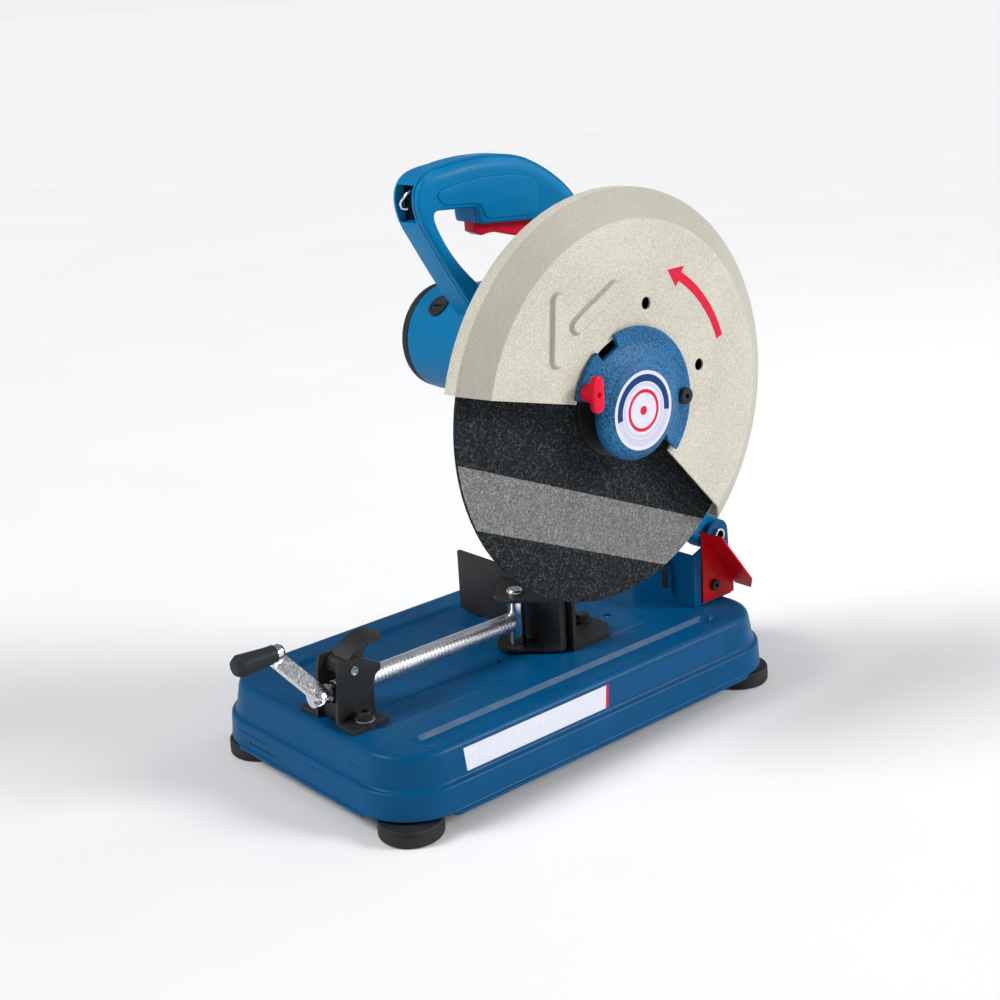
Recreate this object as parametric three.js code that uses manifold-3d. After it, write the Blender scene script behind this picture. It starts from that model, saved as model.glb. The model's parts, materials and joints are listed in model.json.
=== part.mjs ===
// A 355 mm abrasive chop saw: pressed-steel base with a screw vise and a fence, and a
// spring-balanced head that carries the motor, gears, wheel, guard and D-handle.
// Millimetres. +X is the wheel's outer side, +Y the back (pivot) end, +Z up.
// While it is built, x = 0 is the wheel's middle plane and z = 0 the floor; the last
// lines move the whole group so that its box stands centred on the origin.
import * as THREE from "three";
import { mergeVertices } from "three/addons/utils/BufferGeometryUtils.js";
import Module from "manifold-3d";

const wasm = await Module();
wasm.setup();

// ---------------------------------------------------------------- driving dimensions
const GAP = 0.3; // air between touching pieces

const BASE = { x0: -249, x1: 24, y0: -174, y1: 278, top: 71.6, corner: 45, sheet: 3 };
const LEDGE_Z = 42;
const LIP_Z = 15.7;
const LIP_OUT = 13;

const WHEEL_R = 177.5;
const WHEEL_T = 3;
const WHEEL = { y: 99, z: 311.2 };
const PIVOT = { y: 267, z: 139 };

const GUARD = { r: 186, faceR: 161, chamferX: 9.6, faceX: 24, rimX: -2, sheet: 2 };
const GUARD_START = -47; // degrees from +Y towards +Z
const GUARD_END = 166;

const GEAR_MODULE = 2;
const GEAR_TEETH = 50;
const PINION_TEETH = 12;
const GEAR_DISTANCE = (GEAR_MODULE * (GEAR_TEETH + PINION_TEETH)) / 2;
const MOTOR_ANGLE = 130; // where the motor axis lies from the wheel axis, degrees
const MOTOR = {
  y: WHEEL.y + GEAR_DISTANCE * Math.cos(THREE.MathUtils.degToRad(MOTOR_ANGLE)),
  z: WHEEL.z + GEAR_DISTANCE * Math.sin(THREE.MathUtils.degToRad(MOTOR_ANGLE)),
};
const MOTOR_R = 49;
const MOTOR_X0 = -168;
const CASE_X0 = -62; // gear case's motor side
const CASE_X1 = -8; // gear case's wheel side

const HANDLE_X = -95;
const HANDLE_W = 36;

const VISE = { x: -90, z: 98 };
const SPINDLE_R = 8.5;
const JAW_PIN_Y = 54;
const FENCE_Y = 80;

// ---------------------------------------------------------------- materials
const finish = (color, roughness, metalness) => ({ color, roughness, metalness });
const BLUE = finish(0x0b5596, 0.45, 0.1);
const CREAM = finish(0xc9c8b8, 0.6, 0.1);
const BLACK_STEEL = finish(0x1d2022, 0.6, 0.4);
const RUBBER = finish(0x17181a, 0.85, 0);
const CHROME = finish(0xd7d9db, 0.2, 1);
const STEEL = finish(0x8f9396, 0.35, 0.9);
const RED_PAINT = finish(0xc4101c, 0.45, 0.1);
const RED_PLASTIC = finish(0xd01530, 0.4, 0);
const ABRASIVE = finish(0x2b2e2f, 0.95, 0);
const DARK_PLASTIC = finish(0x2e3338, 0.55, 0);
const COPPER = finish(0xb0632e, 0.4, 0.9);

// ---------------------------------------------------------------- solid helpers
function toSolid(geometry) {
  const bare = geometry.index ? geometry.toNonIndexed() : geometry.clone();
  for (const name of Object.keys(bare.attributes)) {
    if (name !== "position") bare.deleteAttribute(name);
  }
  const merged = mergeVertices(bare, 1e-3);
  const build = (triVerts) =>
    new wasm.Manifold(
      new wasm.Mesh({
        numProp: 3,
        vertProperties: merged.attributes.position.array,
        triVerts,
      }),
    );
  const triVerts = new Uint32Array(merged.index.array);
  const made = build(triVerts);
  if (made.volume() > 0) return made;
  return build(triVerts.reverse());
}

function toGeometry(solid) {
  const mesh = solid.getMesh();
  const geometry = new THREE.BufferGeometry();
  const count = mesh.numProp;
  const vertices = new Float32Array((mesh.vertProperties.length / count) * 3);
  for (let i = 0; i < vertices.length / 3; i++) {
    for (let k = 0; k < 3; k++) vertices[3 * i + k] = mesh.vertProperties[count * i + k];
  }
  geometry.setAttribute("position", new THREE.BufferAttribute(vertices, 3));
  geometry.setIndex(new THREE.BufferAttribute(new Uint32Array(mesh.triVerts), 1));
  geometry.computeVertexNormals();
  return geometry;
}

const union = (solids) => solids.reduce((sum, one) => sum.add(one));
const cut = (solid, tools) => tools.reduce((left, tool) => left.subtract(tool), solid);

// ---------------------------------------------------------------- shape helpers
const rad = THREE.MathUtils.degToRad;
const polar = (r, degrees, y = 0, z = 0) => [
  y + r * Math.cos(rad(degrees)),
  z + r * Math.sin(rad(degrees)),
];

function outline(points) {
  return new THREE.Shape(points.map(([u, v]) => new THREE.Vector2(u, v)));
}

function arcPoints(u, v, r, from, to, steps) {
  const points = [];
  for (let i = 0; i <= steps; i++) {
    points.push(polar(r, from + ((to - from) * i) / steps, u, v));
  }
  return points;
}

const disc = (u, v, r, steps = 32) =>
  outline(arcPoints(u, v, r, 0, 360 - 360 / steps, steps - 1));

function roundedRect(x0, x1, y0, y1, r, steps = 6) {
  return outline([
    ...arcPoints(x1 - r, y1 - r, r, 0, 90, steps),
    ...arcPoints(x0 + r, y1 - r, r, 90, 180, steps),
    ...arcPoints(x0 + r, y0 + r, r, 180, 270, steps),
    ...arcPoints(x1 - r, y0 + r, r, 270, 360, steps),
  ]);
}

// A slot or rib with round ends between two points.
function capsule(u0, v0, u1, v1, r, steps = 8) {
  const lean = THREE.MathUtils.radToDeg(Math.atan2(v1 - v0, u1 - u0));
  return outline([
    ...arcPoints(u1, v1, r, lean - 90, lean + 90, steps),
    ...arcPoints(u0, v0, r, lean + 90, lean + 270, steps),
  ]);
}

// The shape's plane and the direction it is extruded along, in the object's axes.
const ALONG_X = new THREE.Matrix4().set(0, 0, 1, 0, 1, 0, 0, 0, 0, 1, 0, 0, 0, 0, 0, 1);
const ALONG_Y = new THREE.Matrix4().set(1, 0, 0, 0, 0, 0, -1, 0, 0, 1, 0, 0, 0, 0, 0, 1);

function extruded(shape, depth, bevel = 0, bevelSteps = 2) {
  const geometry = new THREE.ExtrudeGeometry(shape, {
    depth: depth - 2 * bevel,
    bevelEnabled: bevel > 0,
    bevelThickness: bevel,
    bevelSize: bevel,
    bevelOffset: -bevel,
    bevelSegments: bevelSteps,
    curveSegments: 8,
    steps: 1,
  });
  return geometry.translate(0, 0, bevel);
}

const slabZ = (shape, z0, z1, bevel = 0, bevelSteps = 2) =>
  toSolid(extruded(shape, z1 - z0, bevel, bevelSteps).translate(0, 0, z0));

const slabX = (shape, x0, x1, bevel = 0, bevelSteps = 2) =>
  toSolid(
    extruded(shape, x1 - x0, bevel, bevelSteps).applyMatrix4(ALONG_X).translate(x0, 0, 0),
  );

const slabY = (shape, y0, y1, bevel = 0, bevelSteps = 2) =>
  toSolid(
    extruded(shape, y1 - y0, bevel, bevelSteps).applyMatrix4(ALONG_Y).translate(0, y1, 0),
  );

const box = (x0, x1, y0, y1, z0, z1) =>
  toSolid(
    new THREE.BoxGeometry(x1 - x0, y1 - y0, z1 - z0).translate(
      (x0 + x1) / 2,
      (y0 + y1) / 2,
      (z0 + z1) / 2,
    ),
  );

// A turned solid: the profile is [radius, distance along the axis] points.
function turned(profile, steps) {
  const points = profile.map(([r, h]) => new THREE.Vector2(r, h));
  return new THREE.LatheGeometry(points, steps);
}

const turnedX = (profile, y, z, steps = 32) =>
  toSolid(turned(profile, steps).rotateZ(-Math.PI / 2).translate(0, y, z));

const turnedY = (profile, x, z, steps = 16) =>
  toSolid(turned(profile, steps).translate(x, 0, z));

const turnedZ = (profile, x, y, steps = 32) =>
  toSolid(turned(profile, steps).rotateX(Math.PI / 2).translate(x, y, 0));

const rod = (r, from, to) => [
  [0, from],
  [r, from],
  [r, to],
  [0, to],
];

const ring = (inner, outer, from, to) => [
  [inner, from],
  [outer, from],
  [outer, to],
  [inner, to],
  [inner, from],
];

const saw = new THREE.Group();

function add(name, solid, look) {
  const mesh = new THREE.Mesh(toGeometry(solid), new THREE.MeshStandardMaterial(look));
  mesh.name = name;
  saw.add(mesh);
}

// A hexagon head with a round shank and a washer, standing along +Z at (x, y).
function hexBoltZ(x, y, seat, size, shankR, depth) {
  const hex = outline(arcPoints(x, y, size / Math.sqrt(3), 0, 300, 5));
  return union([
    slabZ(hex, seat + 1.4, seat + 7),
    turnedZ(rod(size * 0.72, seat, seat + 1.5), x, y, 20),
    turnedZ(rod(shankR, seat - depth, seat + 1), x, y, 12),
  ]);
}

// ---------------------------------------------------------------- base and feet
const inset = (d) => [BASE.x0 + d, BASE.x1 - d, BASE.y0 + d, BASE.y1 - d];

// Widens a slab from its top to its bottom, as the pressed walls do.
function flared(shape, z0, z1, out, bevel) {
  const geometry = extruded(shape, z1 - z0, bevel, 2).translate(0, 0, z0);
  const middle = [(BASE.x0 + BASE.x1) / 2, (BASE.y0 + BASE.y1) / 2];
  const half = [(BASE.x1 - BASE.x0) / 2, (BASE.y1 - BASE.y0) / 2];
  const position = geometry.attributes.position;
  for (let i = 0; i < position.count; i++) {
    const down = (z1 - position.getZ(i)) / (z1 - z0);
    const grow = [0, 1].map((k) => 1 + (out * down) / half[k]);
    position.setX(i, middle[0] + (position.getX(i) - middle[0]) * grow[0]);
    position.setY(i, middle[1] + (position.getY(i) - middle[1]) * grow[1]);
  }
  return geometry;
}

function baseShell() {
  const { top, corner, sheet } = BASE;
  const upper = toSolid(flared(roundedRect(...inset(0), corner), LEDGE_Z - 1, top, 5, 4));
  const lower = toSolid(flared(roundedRect(...inset(-9), corner + 9), LIP_Z, LEDGE_Z, 2, 2));
  const lip = slabZ(roundedRect(...inset(-LIP_OUT), corner + LIP_OUT), LIP_Z, LIP_Z + sheet);
  const roof = top - sheet;
  const hollowTop = flared(roundedRect(...inset(sheet), corner - sheet), 0, roof, 11, 0);
  const grooves = [
    slabZ(capsule(-1.5, -127, -1.5, 218, 9.5, 5), top - 1.6, top + 1),
    slabZ(roundedRect(-217, -170, -112, 150, 12, 4), top - 1.2, top + 1),
    slabZ(capsule(-82, -116, -79, 20, 2, 4), roof - 1, top + 1),
    slabZ(disc(-83, 165, 4, 16), roof - 1, top + 1),
  ];
  const frontRidges = [0, 1, 2].map((i) =>
    box(-190 + 4 * i, -70 - 6 * i, BASE.y0 - 30, BASE.y0 + 30, 61 - 13 * i, 62.2 - 13 * i),
  );
  const skin = toSolid(flared(roundedRect(...inset(1.2), corner), 0, top - 1.2, 11, 0));
  const ridgeCuts = frontRidges.map((one) => one.subtract(skin));
  return cut(union([upper, lower, lip]), [toSolid(hollowTop), ...grooves, ...ridgeCuts]);
}
add("base_shell", baseShell(), BLUE);

const FOOT_R = 28;
const FOOT_X = [8, -218];
const FOOT_Y = [-157, 254];
function foot(x, y) {
  return turnedZ(
    [
      [0, 0],
      [FOOT_R - 3, 0],
      [FOOT_R, 3],
      [FOOT_R, LIP_Z - 4],
      [FOOT_R - 2, LIP_Z - GAP],
      [0, LIP_Z - GAP],
    ],
    x,
    y,
    20,
  );
}
const SIDES = ["right", "left"];
const ENDS = ["front", "rear"];
for (const [i, side] of SIDES.entries()) {
  for (const [j, end] of ENDS.entries()) {
    add(`foot_${end}_${side}`, foot(FOOT_X[i], FOOT_Y[j]), RUBBER);
  }
}

// ---------------------------------------------------------------- rear pivot
const EAR_NEAR_X = -32;
const EAR_FAR_X = -113;
const EAR_T = 3;
const SHAFT_R = 6.5;

function pivotBracket() {
  const seat = BASE.top + GAP;
  const profile = outline([
    [232, seat],
    [286, seat],
    [283, 124],
    ...arcPoints(PIVOT.y, PIVOT.z, 15, 0, 150, 8),
    [245, 130],
    [232, 125],
  ]);
  const ears = [EAR_NEAR_X, EAR_FAR_X].map((x) => slabX(profile, x, x + EAR_T));
  const front = box(EAR_FAR_X, EAR_NEAR_X + EAR_T, 232, 235, seat, 125);
  const floor = box(EAR_FAR_X, EAR_NEAR_X + EAR_T, 232, 284, seat, seat + 3);
  const bore = turnedX(rod(SHAFT_R + GAP, -200, 0), PIVOT.y, PIVOT.z, 20);
  return union([...ears, front, floor]).subtract(bore);
}
add("pivot_bracket", pivotBracket(), BLUE);

const SHAFT_X0 = EAR_FAR_X - 5;
const SHAFT_X1 = EAR_NEAR_X + EAR_T + 4;
add("pivot_shaft", turnedX(ring(4.6, SHAFT_R, SHAFT_X0, SHAFT_X1), PIVOT.y, PIVOT.z, 20), CHROME);

// The torsion spring that carries the head, as the sleeve its coils fill, with two legs.
function liftSpring() {
  const coil = turnedX(ring(12, 16, -104, -66), PIVOT.y, PIVOT.z, 16);
  const leg = box(-104, -100, PIVOT.y - 30, PIVOT.y - 10, PIVOT.z - 15.5, PIVOT.z - 11.5);
  return coil.add(leg);
}
add("lift_spring", liftSpring(), CHROME);

const DEFLECTOR_X = EAR_NEAR_X + EAR_T + GAP;
function sparkDeflector() {
  const sheet = 1.6;
  const plate = slabX(
    outline([
      [243, 74],
      [243, 143.4],
      [288, 86.8],
      [288, 74],
    ]),
    DEFLECTOR_X,
    DEFLECTOR_X + sheet,
  );
  const wing = slabX(
    outline([
      [238, 149],
      [292, 81],
      [293.4, 82.1],
      [239.4, 150.1],
    ]),
    DEFLECTOR_X,
    2,
  );
  const room = turnedX(rod(SHAFT_R + 1, -40, -20), PIVOT.y, PIVOT.z, 16);
  const corner = slabZ(
    outline([
      [2.1, 300],
      [-16, 300],
      [2.1, 282],
    ]),
    60,
    110,
  );
  const hole = turnedX(rod(2.8, -40, 0), 259, 89, 12);
  return cut(plate.add(wing), [room, corner, hole]);
}
add("spark_deflector", sparkDeflector(), RED_PAINT);

function deflectorScrew() {
  const x = DEFLECTOR_X + 1.6 + GAP;
  const head = turnedX(rod(4.8, x, x + 3.2), 259, 89, 20);
  const shank = turnedX(rod(2.4, x - 1.6, x + 1), 259, 89, 12);
  return head.add(shank);
}
add("deflector_screw", deflectorScrew(), BLACK_STEEL);

function depthStop() {
  const path = new THREE.CatmullRomCurve3([
    new THREE.Vector3(-62, 231.2, 116),
    new THREE.Vector3(-62, 228.4, 116),
    new THREE.Vector3(-61.5, 224.5, 111),
    new THREE.Vector3(-60, 224.5, 88),
  ]);
  const section = disc(0, 0, 3, 8);
  return toSolid(
    new THREE.ExtrudeGeometry(section, { steps: 8, extrudePath: path, bevelEnabled: false }),
  );
}
add("depth_stop", depthStop(), BLACK_STEEL);

// ---------------------------------------------------------------- vise: front bracket
const EAR_INNER = 13;
const VISE_PIN = { y: -145, z: 118 };

function viseBracket() {
  const seat = BASE.top + GAP;
  const profile = outline([
    [-166, seat],
    [-126, seat],
    [-126, 100],
    [-122, 108],
    [-117, 110],
    [-117, 116],
    [-136, 127],
    [-158, 128],
    [-160, 122],
    [-163, 100],
  ]);
  const parts = [];
  for (const side of [-1, 1]) {
    const inner = VISE.x + side * EAR_INNER;
    const outer = inner + side * 4;
    const rim = outer + side * 22;
    parts.push(slabX(profile, Math.min(inner, outer), Math.max(inner, outer)));
    parts.push(box(Math.min(outer, rim), Math.max(outer, rim), -166, -128, seat, seat + 4));
  }
  const saddle = VISE.z - SPINDLE_R - GAP;
  parts.push(box(VISE.x - EAR_INNER, VISE.x + EAR_INNER, -160, -130, seat, saddle));
  const pinBore = turnedX(rod(4 + GAP, -130, -50), VISE_PIN.y, VISE_PIN.z, 16);
  const boltHoles = [-1, 1].map((side) =>
    turnedZ(rod(4.3, seat - 1, seat + 6), VISE.x + side * 29, -146, 12),
  );
  return cut(union(parts), [pinBore, ...boltHoles]);
}
add("vise_bracket", viseBracket(), BLACK_STEEL);
for (const [i, side] of SIDES.entries()) {
  const x = VISE.x + (i === 0 ? 29 : -29);
  const seat = BASE.top + GAP + 4 + GAP;
  add(`vise_bolt_${side}`, hexBoltZ(x, -146, seat, 11, 4, 4), BLACK_STEEL);
}

function leverPin() {
  const span = EAR_INNER + 5.5;
  const pin = rod(4, VISE.x - span, VISE.x + span);
  return turnedX(pin, VISE_PIN.y, VISE_PIN.z, 16);
}
add("lever_pin", leverPin(), BLACK_STEEL);

function quickLever() {
  const centre = [-116, 101];
  const strap = outline([
    ...arcPoints(...centre, 39, 82, 158, 10),
    ...arcPoints(...centre, 33.5, 150, 84, 10),
  ]);
  const cheek = outline([
    ...arcPoints(VISE_PIN.y, VISE_PIN.z, 8.5, 90, 300, 8),
    [-133, 124],
    ...arcPoints(...centre, 35, 112, 150, 4),
  ]);
  const half = EAR_INNER - 1;
  const band = slabX(strap, VISE.x - half, VISE.x + half);
  const cheeks = [-half, half - 3].map((x) => slabX(cheek, VISE.x + x, VISE.x + x + 3));
  const hub = turnedX(rod(8, VISE.x - half, VISE.x + half), VISE_PIN.y, VISE_PIN.z, 16);
  const bore = turnedX(rod(4 + GAP, -120, -60), VISE_PIN.y, VISE_PIN.z, 16);
  return union([band, hub, ...cheeks]).subtract(bore);
}
add("quick_release_lever", quickLever(), BLACK_STEEL);

// ---------------------------------------------------------------- vise: spindle and jaw
const CRANK_Y = -172;
const NECK_R = 5;

function spindle() {
  return turnedY(
    [
      [0, CRANK_Y - 7],
      [SPINDLE_R, CRANK_Y - 7],
      [SPINDLE_R, JAW_PIN_Y - 8.6],
      [NECK_R, JAW_PIN_Y - 8.6],
      [NECK_R, JAW_PIN_Y + 5],
      [0, JAW_PIN_Y + 5],
    ],
    VISE.x,
    VISE.z,
  );
}
// The nose is halved into a tongue for the crank, which stands rolled round the spindle's axis.
const CRANK_ROLL = 140;
const rolled = (solid) =>
  solid.translate(-VISE.x, 0, -VISE.z).rotate([0, CRANK_ROLL, 0]).translate(VISE.x, 0, VISE.z);
const RIVET_R = 2.5;
const crankSlot = box(VISE.x - 20, VISE.x - 1.8, CRANK_Y - 20, CRANK_Y + 10, 60, 130);
const rivetBore = turnedX(
  rod(RIVET_R + GAP, VISE.x - 20, VISE.x + 20),
  CRANK_Y,
  VISE.z,
  12,
);
add("spindle", cut(spindle(), [rolled(crankSlot), rolled(rivetBore)]), CHROME);

// The folding crank: a flat bar on the tongue, with a tab bent over at its end for the grip.
const CRANK_REACH = 50;
const CRANK_LEAN = -62; // degrees between the bar and the spindle's axis
const CRANK_BAR = { x0: VISE.x - 7, x1: VISE.x - 2.1 };
const [CRANK_END_Y, CRANK_END_Z] = polar(CRANK_REACH, 180 - CRANK_LEAN, CRANK_Y, VISE.z);
const GRIP_X = VISE.x - 16;
const TAB_FRONT = CRANK_END_Y - 4.9;
function crankBar() {
  const bar = slabX(
    capsule(CRANK_Y, VISE.z, CRANK_END_Y, CRANK_END_Z, 7.5, 8),
    CRANK_BAR.x0,
    CRANK_BAR.x1,
  );
  const tab = slabY(capsule(CRANK_BAR.x1 - 7.5, CRANK_END_Z, GRIP_X, CRANK_END_Z, 7.5, 8), 0, 4.9);
  const bores = [
    turnedX(rod(RIVET_R + GAP, VISE.x - 30, VISE.x), CRANK_Y, VISE.z, 12),
    turnedY(rod(4 + GAP, TAB_FRONT - 2, CRANK_END_Y + 12), GRIP_X, CRANK_END_Z, 12),
  ];
  return cut(bar.add(tab.translate(0, TAB_FRONT, 0)), bores);
}
add("crank", rolled(crankBar()), CHROME);

function crankRivet() {
  return turnedX(
    [
      [0, CRANK_BAR.x0 - 3],
      [5, CRANK_BAR.x0 - 2],
      [5, CRANK_BAR.x0 - GAP],
      [RIVET_R, CRANK_BAR.x0 - GAP],
      [RIVET_R, VISE.x + SPINDLE_R + GAP],
      [5, VISE.x + SPINDLE_R + GAP],
      [5, VISE.x + SPINDLE_R + 2],
      [0, VISE.x + SPINDLE_R + 3],
    ],
    CRANK_Y,
    VISE.z,
    16,
  );
}
add("crank_rivet", rolled(crankRivet()), CHROME);

function crankGrip() {
  const near = TAB_FRONT - GAP;
  return turnedY(
    [
      [0, near - 40],
      [7, near - 39],
      [10, near - 34],
      [8, near - 8],
      [8, near],
      [4, near],
      [4, CRANK_END_Y + GAP],
      [6, CRANK_END_Y + GAP],
      [6, CRANK_END_Y + 2.5],
      [0, CRANK_END_Y + 2.5],
    ],
    GRIP_X,
    CRANK_END_Z,
    20,
  );
}
add("crank_grip", rolled(crankGrip()), BLACK_STEEL);

const JAW_TOP = 125;
const JAW_FOOT = BASE.top + 1.4;
function jawPin() {
  const body = turnedZ(
    [
      [0, JAW_FOOT + 0.2],
      [8, JAW_FOOT + 0.2],
      [8, JAW_TOP + 3],
      [7, JAW_TOP + 4.5],
      [0, JAW_TOP + 4.5],
    ],
    VISE.x,
    JAW_PIN_Y,
    16,
  );
  return body.subtract(turnedY(rod(NECK_R + GAP, 0, JAW_PIN_Y + 5.5), VISE.x, VISE.z, 12));
}
add("jaw_pin", jawPin(), CHROME);

function jaw() {
  const ear = outline([
    [VISE.x + 43, 76],
    [VISE.x - 43, 76],
    [VISE.x - 43, 69],
    ...arcPoints(VISE.x, JAW_PIN_Y, 20, 200, 340, 10),
    [VISE.x + 43, 69],
  ]);
  const face = box(VISE.x - 43, VISE.x + 43, 69, 77, JAW_FOOT, JAW_TOP);
  const plates = [
    slabZ(ear, JAW_TOP - 3, JAW_TOP),
    slabZ(ear, JAW_FOOT, JAW_FOOT + 3),
  ];
  const bore = turnedZ(rod(8 + GAP, 60, 140), VISE.x, JAW_PIN_Y, 24);
  return union([face, ...plates]).subtract(bore);
}
add("jaw", jaw(), BLACK_STEEL);

// ---------------------------------------------------------------- fence
const FENCE = { x0: -205, x1: -41, top: 133, plate: 4 };
const FENCE_PIVOT = { x: -180, y: 112 };
const FENCE_BOLT = { x: -83, y: 131 };
const FENCE_SWING = 15;

function fence() {
  const seat = BASE.top + GAP;
  const upright = box(FENCE.x0, FENCE.x1, FENCE_Y, FENCE_Y + FENCE.plate, seat, FENCE.top);
  const sole = slabZ(
    outline([
      [FENCE.x0, FENCE_Y],
      [FENCE.x1, FENCE_Y],
      [FENCE.x1, 126],
      [FENCE.x1 - 18, 143],
      [-110, 143],
      [-150, 134],
      [FENCE.x0, 134],
    ]),
    seat,
    seat + FENCE.plate,
  );
  const reach = Math.hypot(FENCE_BOLT.x - FENCE_PIVOT.x, FENCE_BOLT.y - FENCE_PIVOT.y);
  const lean = THREE.MathUtils.radToDeg(
    Math.atan2(FENCE_BOLT.y - FENCE_PIVOT.y, FENCE_BOLT.x - FENCE_PIVOT.x),
  );
  const { x, y } = FENCE_PIVOT;
  const end = lean - FENCE_SWING;
  const slot = outline([
    ...arcPoints(x, y, reach + 4.6, end, lean, 8),
    ...arcPoints(FENCE_BOLT.x, FENCE_BOLT.y, 4.6, lean, lean + 180, 6).slice(1, -1),
    ...arcPoints(x, y, reach - 4.6, lean, end, 8),
    ...arcPoints(...polar(reach, end, x, y), 4.6, end + 180, end + 360, 6).slice(1, -1),
  ]);
  const slotCut = slabZ(slot, seat - 1, seat + 6);
  const pivotCut = turnedZ(rod(4.4, seat - 1, seat + 6), x, y, 16);
  return cut(upright.add(sole), [slotCut, pivotCut]);
}
add("fence", fence(), BLACK_STEEL);
const FENCE_SEAT = BASE.top + GAP + FENCE.plate + GAP;
add("fence_pivot_bolt", hexBoltZ(FENCE_PIVOT.x, FENCE_PIVOT.y, FENCE_SEAT, 13, 4, 4), STEEL);
add("fence_slot_bolt", hexBoltZ(FENCE_BOLT.x, FENCE_BOLT.y, FENCE_SEAT, 13, 4, 4), BLACK_STEEL);

// ---------------------------------------------------------------- head: arm casting
const ARBOR_R = 12.5;
const BEARING_R = 21;

function hullOutline(a, ra, b, rb, steps = 12) {
  const lean = THREE.MathUtils.radToDeg(Math.atan2(b.z - a.z, b.y - a.y));
  const length = Math.hypot(b.y - a.y, b.z - a.z);
  const tilt = THREE.MathUtils.radToDeg(Math.acos((ra - rb) / length));
  return outline([
    ...arcPoints(a.y, a.z, ra, lean + tilt, lean + 360 - tilt, steps),
    ...arcPoints(b.y, b.z, rb, lean - tilt, lean + tilt, steps),
  ]);
}

function armCasting() {
  const gearCase = slabX(hullOutline(WHEEL, 60, MOTOR, 52, 14), CASE_X0, CASE_X1, 4, 2);
  const arm = slabX(hullOutline(WHEEL, 34, PIVOT, 17, 10), -60, -36, 4, 2);
  const cavity = slabX(hullOutline(WHEEL, 55, MOTOR, 20, 14), CASE_X0 - 1, CASE_X0 + 26);
  const tools = [
    cavity,
    turnedX(rod(BEARING_R + GAP, -40, -14), WHEEL.y, WHEEL.z, 24),
    turnedX(rod(ARBOR_R + 2, -40, 0), WHEEL.y, WHEEL.z, 24),
    turnedX(rod(11 + GAP, -40, -24), MOTOR.y, MOTOR.z, 20),
    turnedX(rod(SHAFT_R + GAP, -80, -20), PIVOT.y, PIVOT.z, 20),
  ];
  return cut(gearCase.add(arm), tools);
}
add("arm_casting", armCasting(), BLUE);

// ---------------------------------------------------------------- head: motor
const CAP_X = -182;
function motorHousing() {
  const shell = turnedX(
    [
      [45, MOTOR_X0],
      [MOTOR_R, MOTOR_X0],
      [MOTOR_R, -76],
      [MOTOR_R + 3, -71],
      [MOTOR_R + 3, CASE_X0 - GAP],
      [16, CASE_X0 - GAP],
      [16, CASE_X0 - 6],
      [45, CASE_X0 - 6],
      [45, MOTOR_X0],
    ],
    MOTOR.y,
    MOTOR.z,
    36,
  );
  const cover = slabX(hullOutline(WHEEL, 60, MOTOR, 52, 14), CASE_X0 - 6, CASE_X0 - GAP);
  const tools = [
    turnedX(rod(16, -80, -50), MOTOR.y, MOTOR.z, 24),
    turnedX(rod(14 + GAP, -80, -50), WHEEL.y, WHEEL.z, 24),
    ...BRUSH_ANGLES.map((angle) => radialRod(BRUSH_CAP_R + GAP, 30, 60, BRUSH_X, angle)),
  ];
  return cut(shell.add(cover), tools);
}

const BRUSH_ANGLES = [133, -47];
const BRUSH_X = -139;
const BRUSH_CAP_R = 10.5;
// A rod that stands out of the motor axis at an angle in the YZ plane.
function radialRod(r, from, to, x, angle, steps = 16) {
  const geometry = turned(rod(r, from, to), steps).rotateX(rad(angle));
  return toSolid(geometry.translate(x, MOTOR.y, MOTOR.z));
}
add("motor_housing", motorHousing(), BLUE);

function motorEndCap() {
  const cap = turnedX(
    [
      [0, CAP_X],
      [38, CAP_X],
      [45, CAP_X + 2],
      [47, CAP_X + 5],
      [47, MOTOR_X0 - GAP],
      [36, MOTOR_X0 - GAP],
      [36, CAP_X + 4],
      [12, CAP_X + 4],
      [12, MOTOR_X0],
      [8.3, MOTOR_X0],
      [8.3, CAP_X + 3],
      [0, CAP_X + 3],
    ],
    MOTOR.y,
    MOTOR.z,
    32,
  );
  const vents = [];
  for (let i = 0; i < 6; i++) {
    const angle = i * 60 + 30;
    const [y0, z0] = polar(20, angle, MOTOR.y, MOTOR.z);
    const [y1, z1] = polar(31, angle, MOTOR.y, MOTOR.z);
    vents.push(slabX(capsule(y0, z0, y1, z1, 3, 3), CAP_X - 1, CAP_X + 6));
  }
  return cut(cap, vents);
}
add("motor_end_cap", motorEndCap(), DARK_PLASTIC);

for (const [i, angle] of BRUSH_ANGLES.entries()) {
  const cap = radialRod(BRUSH_CAP_R, 45.5, MOTOR_R + 1.5, BRUSH_X, angle);
  const slot = radialRod(2, MOTOR_R, MOTOR_R + 3, BRUSH_X, angle, 8);
  add(`brush_cap_${i + 1}`, cap.subtract(slot), DARK_PLASTIC);
  add(`carbon_brush_${i + 1}`, radialRod(4, 18.5, 45, BRUSH_X, angle, 8), DARK_PLASTIC);
}

function fieldStator() {
  return turnedX(ring(26, 44, -120, -76), MOTOR.y, MOTOR.z, 20);
}
add("field_stator", fieldStator(), STEEL);

function toothed(teeth, module, y, z, phase) {
  const pitchR = (teeth * module) / 2;
  const step = 360 / teeth;
  const points = [];
  for (let i = 0; i < teeth; i++) {
    const middle = phase + i * step;
    points.push(polar(pitchR - 1.3 * module, middle - 0.28 * step, y, z));
    points.push(polar(pitchR + 0.75 * module, middle - 0.11 * step, y, z));
    points.push(polar(pitchR + 0.75 * module, middle + 0.11 * step, y, z));
    points.push(polar(pitchR - 1.3 * module, middle + 0.28 * step, y, z));
  }
  return outline(points);
}

const GEAR_X0 = CASE_X0 + 4;
const GEAR_X1 = CASE_X0 + 18;
const PINION_PHASE = MOTOR_ANGLE + 180;
const GEAR_PHASE = MOTOR_ANGLE + 180 / GEAR_TEETH;

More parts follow.
